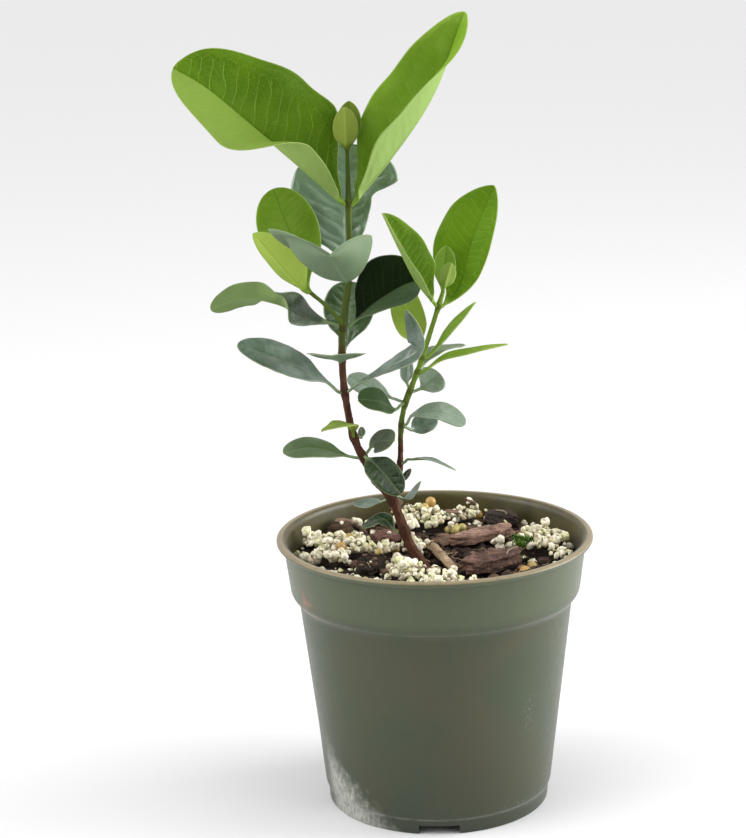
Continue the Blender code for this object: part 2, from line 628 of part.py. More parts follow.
def leaf_frames(leaf, places, rows):
    """Midrib points and the three directions of the blade, for each row."""
    place, radius, stem = places[leaf.node]
    midrib = [Vector(point) for point in leaf.midrib]
    away = midrib[0] - place
    away -= stem * away.dot(stem)
    start = place + away.normalized() * (radius + LEAF_SEAT)
    stub = start + away.normalized() * LEAF_STUB
    fine = smooth_path([start, stub] + midrib, 0.5)
    reach = [0.0]
    for before, after in zip(fine, fine[1:]):
        reach.append(reach[-1] + (after - before).length)
    total = reach[-1]
    ups = [Vector(up).normalized() for up in leaf.up]
    frames = []
    for along in reversed(rows):
        distance = along * (total - leaf.petiole) + leaf.petiole if along > 0 else \
            leaf.petiole * (1 + along)
        index = next((i for i, r in enumerate(reach) if r >= distance - 1e-9), len(reach) - 1)
        index = max(1, index)
        share = (distance - reach[index - 1]) / max(1e-9, reach[index] - reach[index - 1])
        middle = fine[index - 1].lerp(fine[index], share)
        onward = (fine[min(index + 1, len(fine) - 1)] - fine[max(index - 2, 0)]).normalized()
        if along < 0:
            _, next_onward, next_facing, _ = frames[0]
            facing = next_onward.rotation_difference(onward) @ next_facing
        else:
            facing = blend(ups, distance / total)
            facing = (facing - onward * facing.dot(onward)).normalized()
        frames.insert(0, (middle, onward, facing, distance / total))
    return frames


def make_leaf(name, leaf, places, parts):
    broad = leaf.width >= BROAD_LEAF
    columns = 4 if broad else 2
    rows = (-1.0, 0.0) + (BROAD_ROWS if broad else SMALL_ROWS)
    frames = leaf_frames(leaf, places, rows)
    bm = bmesh.new()
    bmesh.ops.create_grid(bm, x_segments=columns, y_segments=len(rows) - 1, size=1.0)
    layer = bm.verts.layers.deform.verify()
    for point in bm.verts:
        side = point.co.x
        row = round((point.co.y + 1) / 2 * (len(rows) - 1))
        middle, onward, facing, reach = frames[row]
        right = onward.cross(facing)
        half = blade_half_width(leaf, rows[row])
        angle = 0.0
        ripple = 0.0
        if row >= 2:
            half *= blend(leaf.right if side > 0 else leaf.left, reach)
            angle = math.radians(blend(leaf.fold, reach) + leaf.curl * abs(side) / 2)
            wave = math.sin(WAVES * math.tau * reach + 1.5 * side)
            ripple = leaf.wave * side * side * wave * half / (leaf.width / 2)
        out = math.cos(angle) * side * half
        lift = math.sin(angle) * abs(side) * half
        place = middle + right * out + facing * (lift + ripple)
        point.co = place * MM
        point[layer][0] = 1 - reach if row < 2 or abs(side) < 0.01 else 0.0
    bmesh.ops.remove_doubles(bm, verts=bm.verts, dist=1e-6)
    bmesh.ops.triangulate(bm, faces=bm.faces)
    mesh = mesh_from(bm, name, 60)
    made = add_object(name, mesh, leaf.tone, parts)
    made.vertex_groups.new(name="midrib")
    shell = made.modifiers.new("thickness", "SOLIDIFY")
    shell.thickness = MIDRIB_THICKNESS * MM
    shell.offset = 0.0
    shell.vertex_group = "midrib"
    shell.thickness_vertex_group = BLADE_THICKNESS / MIDRIB_THICKNESS
    return made


def settle(mesh):
    """Lower or raise a mesh so that it lies just clear of the potting mix."""
    gap = min(p.co.z / MM - soil_top(p.co.x / MM, p.co.y / MM) for p in mesh.vertices)
    mesh.transform(Matrix.Translation((0, 0, (CLEAR + 0.15 - gap) * MM)))


def make_bark(name, parts):
    (x, y), heading, (length, width, height), seed = BARK[name]
    chance = random.Random(seed)
    bm = bmesh.new()
    bmesh.ops.create_cube(bm, size=1.0)
    bmesh.ops.subdivide_edges(bm, edges=bm.edges, cuts=2, use_grid_fill=True)
    for point in bm.verts:
        across = abs(point.co.y) * 2
        along = abs(point.co.x) * 2
        point.co.x *= length * (1 - 0.22 * across ** 2) * chance.uniform(0.9, 1.08)
        point.co.y *= width * (1 - 0.3 * along ** 2) * chance.uniform(0.85, 1.1)
        point.co.z *= height * (1 - 0.35 * across * along) * chance.uniform(0.8, 1.1)
    bmesh.ops.scale(bm, vec=(MM, MM, MM), verts=bm.verts)
    turn = Matrix.Rotation(math.radians(heading), 4, "Z")
    tilt = Matrix.Rotation(math.radians(chance.uniform(-7, 7)), 4, "X")
    place = Matrix.Translation((x * MM, y * MM, SOIL_HEIGHT * MM))
    bmesh.ops.transform(bm, matrix=place @ turn @ tilt, verts=bm.verts)
    bmesh.ops.triangulate(bm, faces=bm.faces)
    mesh = mesh_from(bm, name, 25)
    settle(mesh)
    return add_object(name, mesh, "bark", parts)


def make_stick(parts):
    (x0, y0), (x1, y1) = STICK_ENDS
    chance = random.Random(41)
    bm = bmesh.new()
    length = math.hypot(x1 - x0, y1 - y0)
    bmesh.ops.create_cone(bm, cap_ends=True, segments=10, radius1=STICK_RADIUS * MM,
                          radius2=STICK_RADIUS * 0.85 * MM, depth=length * MM)
    turn = Vector((x1 - x0, y1 - y0, 0)).to_track_quat("Z", "Y").to_matrix().to_4x4()
    middle = Matrix.Translation(((x0 + x1) / 2 * MM, (y0 + y1) / 2 * MM, (SOIL_HEIGHT + 3) * MM))
    bmesh.ops.transform(bm, matrix=middle @ turn, verts=bm.verts)
    for point in bm.verts:
        point.co.x += chance.uniform(-0.25, 0.25) * MM
        point.co.y += chance.uniform(-0.25, 0.25) * MM
    mesh = mesh_from(bm, "wood_stick", 40)
    settle(mesh)
    return add_object("wood_stick", mesh, "stick", parts)


def bark_distance(x, y):
    """Distance from a point to the nearest bark piece or the stick, seen from above."""
    nearest = 99.0
    for (cx, cy), heading, (length, width, _), _seed in BARK.values():
        turn = math.radians(-heading)
        u = (x - cx) * math.cos(turn) - (y - cy) * math.sin(turn)
        v = (x - cx) * math.sin(turn) + (y - cy) * math.cos(turn)
        du, dv = max(0, abs(u) - length * 0.53), max(0, abs(v) - width * 0.53)
        nearest = min(nearest, math.hypot(du, dv))
    (x0, y0), (x1, y1) = STICK_ENDS
    span = (x1 - x0) ** 2 + (y1 - y0) ** 2
    t = min(1, max(0, ((x - x0) * (x1 - x0) + (y - y0) * (y1 - y0)) / span))
    stick = math.hypot(x - x0 - t * (x1 - x0), y - y0 - t * (y1 - y0)) - STICK_RADIUS - 0.4
    return min(nearest, stick)


def free_place(x, y, radius, taken):
    """Whether a grain fits: in the pot, off the bark and stem, clear of other clusters."""
    if math.hypot(x, y) > pot_inner_radius(SOIL_HEIGHT) - radius - WALL_KEEP_OUT:
        return False
    if math.hypot(x - TRUNK_FOOT.x, y - TRUNK_FOOT.y) < radius + STEM_KEEP_OUT:
        return False
    if bark_distance(x, y) < radius + PIECE_GAP:
        return False
    return all(math.hypot(x - a, y - b) > radius + r + PIECE_GAP for a, b, r in taken)


def grow_cluster(centre, reach, count, radii, seed, taken):
    """Grains that each touch an earlier one, spreading out from a centre."""
    chance = random.Random(seed)
    grains = []
    for _ in range(400):
        x = centre[0] + chance.uniform(-4, 4)
        y = centre[1] + chance.uniform(-4, 4)
        if free_place(x, y, radii[1], taken):
            grains.append((x, y, radii[1]))
            break
    for _ in range(6000):
        if len(grains) >= count or not grains:
            break
        x0, y0, r0 = chance.choice(grains)
        radius = chance.uniform(*radii)
        heading = chance.uniform(0, math.tau)
        apart = GRAIN_SPACING * (r0 + radius)
        x, y = x0 + apart * math.cos(heading), y0 + apart * math.sin(heading)
        crowded = any(math.hypot(x - a, y - b) < GRAIN_CROWDING * (r + radius)
                      for a, b, r in grains)
        inside = math.hypot(x - centre[0], y - centre[1]) < reach
        if inside and not crowded and free_place(x, y, radius, taken):
            grains.append((x, y, radius))
    return grains


def make_cluster(name, grains, look, detail, jitter, seed, parts):
    """Grains or beads that touch, joined into one solid."""
    chance = random.Random(seed)
    spare = new_collection(name + "_pieces")
    first = None
    for number, (x, y, radius) in enumerate(grains):
        bm = bmesh.new()
        bmesh.ops.create_icosphere(bm, subdivisions=detail, radius=radius * MM)
        for point in bm.verts:
            point.co *= 1 + chance.uniform(-jitter, jitter)
        turn = Matrix.Rotation(chance.uniform(0, math.tau), 4, Vector((1, chance.random(), 1)))
        height = soil_top(x, y) + CLEAR + radius * (1 + jitter) + 0.25
        shift = Matrix.Translation((x * MM, y * MM, height * MM))
        bmesh.ops.transform(bm, matrix=shift @ turn, verts=bm.verts)
        piece_name = name if first is None else f"{name}_{number}"
        mesh = mesh_from(bm, piece_name)
        piece = bpy.data.objects.new(piece_name, mesh)
        (parts if first is None else spare).objects.link(piece)
        first = first or piece
    boolean(first, "UNION", group=spare)
    mesh = evaluated_mesh(first, name)
    bpy.data.objects.remove(first, do_unlink=True)
    for piece in list(spare.objects):
        bpy.data.objects.remove(piece, do_unlink=True)
    bpy.data.collections.remove(spare)
    return add_object(name, mesh, look, parts)


def make_litter(parts):
    """Bark, the stick, and the clusters of perlite grains and fertiliser beads."""
    for name in BARK:
        make_bark(name, parts)
    make_stick(parts)
    taken = []
    for name, (centre, count, seed) in PRILLS.items():
        size = (PRILL_RADIUS, PRILL_RADIUS)
        beads = grow_cluster(centre, PRILL_REACH, count, size, seed, taken)
        make_cluster(name, beads, "prill", 2, 0.0, seed, parts)
        taken += beads
    for name, (centre, reach, count, seed) in PERLITE.items():
        grains = grow_cluster(centre, reach, count, GRAIN_RADIUS, seed, taken)
        make_cluster(name, grains, "perlite", 1, 0.12, seed, parts)
        taken += grains


def build():
    clear_scene()
    parts = new_collection("potted_guava")
    pot_cutters = new_collection("pot_cutters")
    soil_cutters = new_collection("soil_cutters")
    make_pot(parts, pot_cutters)
    make_soil(parts, soil_cutters)
    make_stems(parts)
    places = node_places()
    for name, leaf in LEAVES.items():
        make_leaf(name, leaf, places, parts)
    make_litter(parts)


build()
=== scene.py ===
"""Potted guava: a young pineapple guava in its nursery pot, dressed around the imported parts."""

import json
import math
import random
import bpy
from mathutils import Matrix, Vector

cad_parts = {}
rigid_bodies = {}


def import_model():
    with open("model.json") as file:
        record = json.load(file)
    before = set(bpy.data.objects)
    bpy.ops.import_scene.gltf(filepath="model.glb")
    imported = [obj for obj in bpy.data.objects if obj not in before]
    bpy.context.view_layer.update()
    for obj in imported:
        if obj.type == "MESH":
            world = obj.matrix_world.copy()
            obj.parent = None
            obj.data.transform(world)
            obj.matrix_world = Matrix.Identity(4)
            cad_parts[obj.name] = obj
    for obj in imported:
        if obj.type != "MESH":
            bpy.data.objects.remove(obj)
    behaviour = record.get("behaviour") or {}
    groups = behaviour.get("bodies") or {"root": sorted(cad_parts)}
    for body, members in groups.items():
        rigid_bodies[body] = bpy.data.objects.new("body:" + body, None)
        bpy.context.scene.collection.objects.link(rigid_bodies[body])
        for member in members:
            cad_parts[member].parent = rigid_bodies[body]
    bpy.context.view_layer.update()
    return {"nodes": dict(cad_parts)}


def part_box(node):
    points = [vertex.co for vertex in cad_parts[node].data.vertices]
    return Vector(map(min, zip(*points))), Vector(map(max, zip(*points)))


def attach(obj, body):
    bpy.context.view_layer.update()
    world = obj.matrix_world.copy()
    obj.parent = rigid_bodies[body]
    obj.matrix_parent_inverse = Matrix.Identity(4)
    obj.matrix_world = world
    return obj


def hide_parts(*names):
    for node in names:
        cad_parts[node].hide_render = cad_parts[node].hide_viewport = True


bl_info = {
    "name": "Potted Guava",
    "version": (1, 0, 0),
    "blender": (4, 5, 0),
    "location": "View3D > Sidebar > Guava",
    "description": "Builds the nursery pot, its potting mix, the woody stem and the leaves of a young guava",
    "category": "Add Mesh",
}

from dataclasses import dataclass

import bmesh
import bpy
import numpy as np
from bpy.props import FloatProperty, FloatVectorProperty, IntProperty, PointerProperty
from bpy.types import Operator, Panel, PropertyGroup
from mathutils import Matrix, Vector, noise
from mathutils.bvhtree import BVHTree

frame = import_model()

# Sizes are in millimetres until a mesh is made; -Y is the side that the camera sees.
MM = 0.001
POT_LOW, POT_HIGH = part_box("pot")
POT_HEIGHT = POT_HIGH.z / MM
LIP_RADIUS = POT_HIGH.x / MM

# Pot
LIP_DROP = 2.0
COLLAR_TOP_RADIUS = LIP_RADIUS - 2.55
COLLAR_FOOT_RADIUS = LIP_RADIUS - 4.75
COLLAR_FOOT_HEIGHT = POT_HEIGHT - 20.2
BODY_TOP_RADIUS = LIP_RADIUS - 7.75
BODY_TOP_HEIGHT = POT_HEIGHT - 23.4
BODY_FOOT_RADIUS = 41.3
BODY_FOOT_HEIGHT = 6.0
FOOT_RADIUS = 40.2
WALL = 1.2
LIP_INNER_RADIUS = LIP_RADIUS - 1.9
FLOOR_UNDERSIDE = 3.3
FLOOR_TOP = 4.8
FOOT_RING_WIDTH = 2.6
CENTRE_PAD_RADIUS = 9.0
CENTRE_PAD_FLARE = 1.2
NOTCH_COUNT = 3
NOTCH_SIZE = (14.5, 8.0, 3.3)
DRAIN_COUNT = 6
DRAIN_RADIUS = 4.2
DRAIN_CIRCLE = 27.0
DRAIN_DEPTH = 8

# Potting mix
SOIL_HEIGHT = 89.6
SOIL_BACK_RISE = 1.6
SOIL_WAVE = 0.45
SOIL_CLEAR = 0.35
INNER_RIM = 52.0

# Stem paths, each through its leaf nodes, with the stem's radius there
TRUNK_PATH = {
    "trunk_low": ((-10.7, -8.2, 103.0), 1.8),
    "fork": ((-15.0, -6.0, 114.5), 1.75),
    "bend": ((-20.6, -5.0, 121.0), 1.5),
    "n0": ((-25.0, -4.2, 129.8), 1.45),
    "n1": ((-28.2, -3.0, 136.8), 1.4),
    "n2": ((-31.0, -0.5, 152.4), 1.35),
    "n3": ((-31.6, 0.0, 165.2), 1.35),
    "n4": ((-31.2, 0.0, 175.8), 1.3),
    "n5": ((-28.4, 0.0, 195.6), 1.2),
    "n6": ((-28.0, 0.0, 219.8), 1.1),
    "bud": ((-28.0, 0.0, 238.5), 0.7),
}
BRANCH_PATH = {
    "fork": ((-15.0, -6.0, 114.5), 1.3),
    "low": ((-12.6, -4.0, 119.6), 1.15),
    "a0": ((-11.8, -2.5, 126.4), 1.0),
    "a": ((-11.2, 0.0, 139.8), 1.0),
    "b": ((-9.6, 0.4, 147.8), 1.0),
    "b2": ((-7.9, 0.6, 152.2), 1.0),
    "c": ((-5.0, 1.0, 159.2), 1.0),
    "c2": ((-3.3, 1.2, 164.2), 0.95),
    "d": ((2.8, 2.0, 182.4), 0.95),
    "d1": ((4.6, 2.6, 188.2), 0.8),
}
TWIG_PATH = {
    "foot": ((-31.0, 0.0, 177.2), 0.9),
    "mid": ((-36.6, -1.2, 184.0), 0.7),
    "twig": ((-42.6, -2.4, 189.6), 0.85),
}
NODE_SWELLING = 1.28

# Leaves
HEEL_OUT = 0.9
HEEL_UP = 0.9
LEAF_SEAT = 0.62
LEAF_STUB = 0.8
BROAD_LEAF = 15.0
MESH_COLUMNS = (7, 0.5)
MESH_ROWS = (34, 1.5)
STALK_ROWS = 12
BLADE_HALF = 0.21
RIB_WIDTH = 0.55
RIB_GROOVE = 0.22
RIB_RIDGE = 0.5
QUILT_WIDTH = 0.6
VEIN_LEAN = 0.42
VEIN_ARCH = 0.008
VEIN_STAGGER = 0.45
WAVES = 3.2
WAVE_SHARE = 0.6
SWELL = 0.008
EDGE_ROLL = 0.04
BUD_NODES = {"d_bud_back": "bud_d_back", "d_bud_front": "bud_d_front"}

# Loose bits on the mix: x, y, radius, and how green a grain or how amber a bead is
GRAINS = (
    (-46.6, 12.1, 2.6, 0.6), (-50.7, 4.4, 1.8, 0.9), (-42.6, 7.4, 2.2, 0.4), (-43.7, -4.5, 2.9, 0.1),
    (-38.9, 0.8, 2, 0.2), (-37.8, 14.8, 2.4, 0.7), (-33.9, 8.6, 2, 0.5), (-30.3, 11.5, 1.8, 0.3),
    (-38.7, 29.2, 1.4, 0.6), (-34.5, 27, 1, 0.1), (-31.8, 27.8, 1.2, 0.1), (-28.9, 28, 1.4, 0.2),
    (-33.5, 36, 1.8, 0.8), (-29, 38.3, 2.7, 0.1), (-25.2, 39, 1.8, 0.7), (-21.6, 46.5, 1.6, 0),
    (-24, 21.5, 2.1, 0.8), (-25.9, 15.3, 1.8, 0.6), (-38.5, -9.3, 1.8, 0.1), (-37, -16.8, 1.7, 0.2),
    (-41.1, -13.7, 1.5, 0.2), (-33.6, -14.3, 1.6, 0.9), (-31.7, -23.3, 1.6, 0.3), (-27.4, -24.2, 2, 0.6),
    (-20.7, -27.5, 1.6, 0.2), (-16.8, -24.4, 1.8, 0.4), (-13, -22.1, 1.8, 0.8), (-11.3, -29.9, 2, 0.2),
    (-7.4, -28.5, 1.8, 0.3), (-13.5, -2.9, 2.6, 0.3), (-10.3, -9.5, 1.8, 0.6), (-17.6, 3.1, 1.6, 0.7),
    (-9.8, -16.7, 1.6, 0.2), (-16.6, 17.8, 1, 0.1), (-4.3, 11.8, 1.6, 0), (-2.7, 8.7, 1.4, 0.1),
    (-6.8, 48.2, 2.2, 0.5), (-11, 48, 1.7, 0.1), (-9.3, 32.1, 2, 0.4), (-3.7, 36.2, 1.2, 0.1),
    (0.8, 48.6, 1.4, 0.3), (-0.1, -28.7, 1.7, 0.3), (2.8, 34.6, 1.1, 0), (6.2, 28.5, 1.6, 0.1),
    (7.4, 22.2, 1.6, 0.2), (9.8, 32.9, 1.8, 0.5), (13.2, 44.2, 1.8, 0), (14.5, 50.3, 1.3, 0),
    (13, 35.9, 1.6, 0.1), (16.2, 38.2, 1.8, 0.2), (27.4, 43.2, 1.5, 0), (33.8, 36.4, 1.5, 0),
    (36.5, 29.7, 2, 0), (31.5, 20.1, 2, 0.1), (41, 19.8, 2.6, 0.1), (42.8, 29.1, 1.7, 0.1),
    (29.2, 13.1, 1.4, 0.3), (49.2, 10.4, 1.6, 0.3), (52.4, 10.6, 1.4, 0.8), (45.9, -1.9, 1.8, 0.8),
    (43.1, -10.4, 1.6, 0.9), (36.5, -1.2, 1, 0), (34.5, -5.7, 1.4, 0.5), (25.5, -1.7, 1.6, 0.4),
    (8, -33, 1.1, 0), (31.8, 5.4, 1.2, 0.3), (-47.5, 4.4, 1.5, 0.2), (-41.5, 19.7, 1.6, 0.5),
    (-35.4, 1.3, 1.5, 0.1), (-43.6, -9.8, 1.4, 0.1), (-30.2, -13.8, 1.3, 0.4), (-24.3, -26.6, 1.3, 0.2),
    (-15.3, -11.4, 1.5, 0.5), (-6.4, 0.4, 1.2, 0.2), (37.9, 15.1, 1.8, 0.3), (39.7, 37.4, 1.3, 0),
    (46.1, 16.7, 1.4, 0.2), (33.9, 13.8, 1.3, 0.5), (17.1, 34.8, 1.3, 0.3),
)
BEADS = (
    (-28.7, 22.4, 1.7, 0.6), (-33.8, -1.6, 1.8, 0.7), (-13.5, 26.6, 1.9, 0.7), (-14.5, 11.8, 1.9, 0.6),
    (-20, -7, 1.7, 0.5), (-2.3, 51, 1.8, 0.7), (-1.2, 45.1, 2, 0.9), (16.8, 48.5, 1.9, 0.8),
    (31.8, -18.8, 2, 0.8), (34.6, -12.1, 1.9, 0.6), (-3.5, 38.8, 1.7, 0.5), (33.2, 27.5, 1.5, 0.9),
)
# Where the moss grows, as x and y
MOSS_TUFTS = ((29, 1.1), (31.1, -0.2), (33.4, 2.1), (30.2, 3.2))
# Each twiglet's path, as x, y and height over the mix
PALE_TWIGLETS = (
    ((30.5, 3.4, 1.6), (34.7, 6.8, 3.4), (40.5, 15, 4.2), (45.2, 20.9, 2.6)),
    ((29.5, 13.5, 2.2), (35.5, 14.5, 3.6), (41.5, 13.0, 3.0)),
    ((23.6, 38.5, 3.0), (26.4, 32.0, 3.6), (27.8, 27.5, 2.8)),
)
# Each chip's x, y, length, width and heading in degrees
CHIPS = (
    (-14.1, 43.2, 4.5, 2.6, 60), (-25.8, 24.7, 3.0, 1.8, 10), (-18.4, 26.8, 2.4, 1.4, 80),
    (-33.5, 34.0, 4.6, 2.4, 30), (-43.3, 21.6, 3.4, 1.8, 75), (13.5, 43.7, 3.6, 2.0, -30),
    (7.8, 38.8, 4.4, 2.4, -10), (24.9, 45, 4.0, 2.6, 65), (39.5, 33.8, 3.0, 1.9, 20),
    (47.2, 17.5, 3.4, 2.0, 80), (-21.5, 8.5, 3.6, 2.2, 40), (4.0, 15.0, 5.0, 2.6, -25),
    (12.0, 3.0, 4.0, 2.0, 15), (38.5, -8.0, 3.0, 1.6, 50), (20.5, 30.0, 3.8, 2.2, -50),
)


def srgb(red, green, blue):
    """A colour picked on a screen, 0 to 255, as the linear values that Blender uses."""
    return tuple(c / 12.92 if c <= 0.04045 else ((c + 0.055) / 1.055) ** 2.4
                 for c in (red / 255, green / 255, blue / 255))


@dataclass(frozen=True)
class Leaf:
    """A leaf on its stem node: its midrib's path, its outline, how it folds and curls, and its finish."""
    node: str
    midrib: tuple
    width: float
    up: tuple
    fold: tuple = (12, 8)
    widest: float = 0.55
    foot: float = 0.95
    tip: float = 0.55
    petiole: float = 3.0
    curl: float = 0.0
    wave: float = 0.0
    left: tuple = (1, 1)
    right: tuple = (1, 1)
    tone: str = "mature"
    look: str = ""
    hook: tuple = (0, 0)


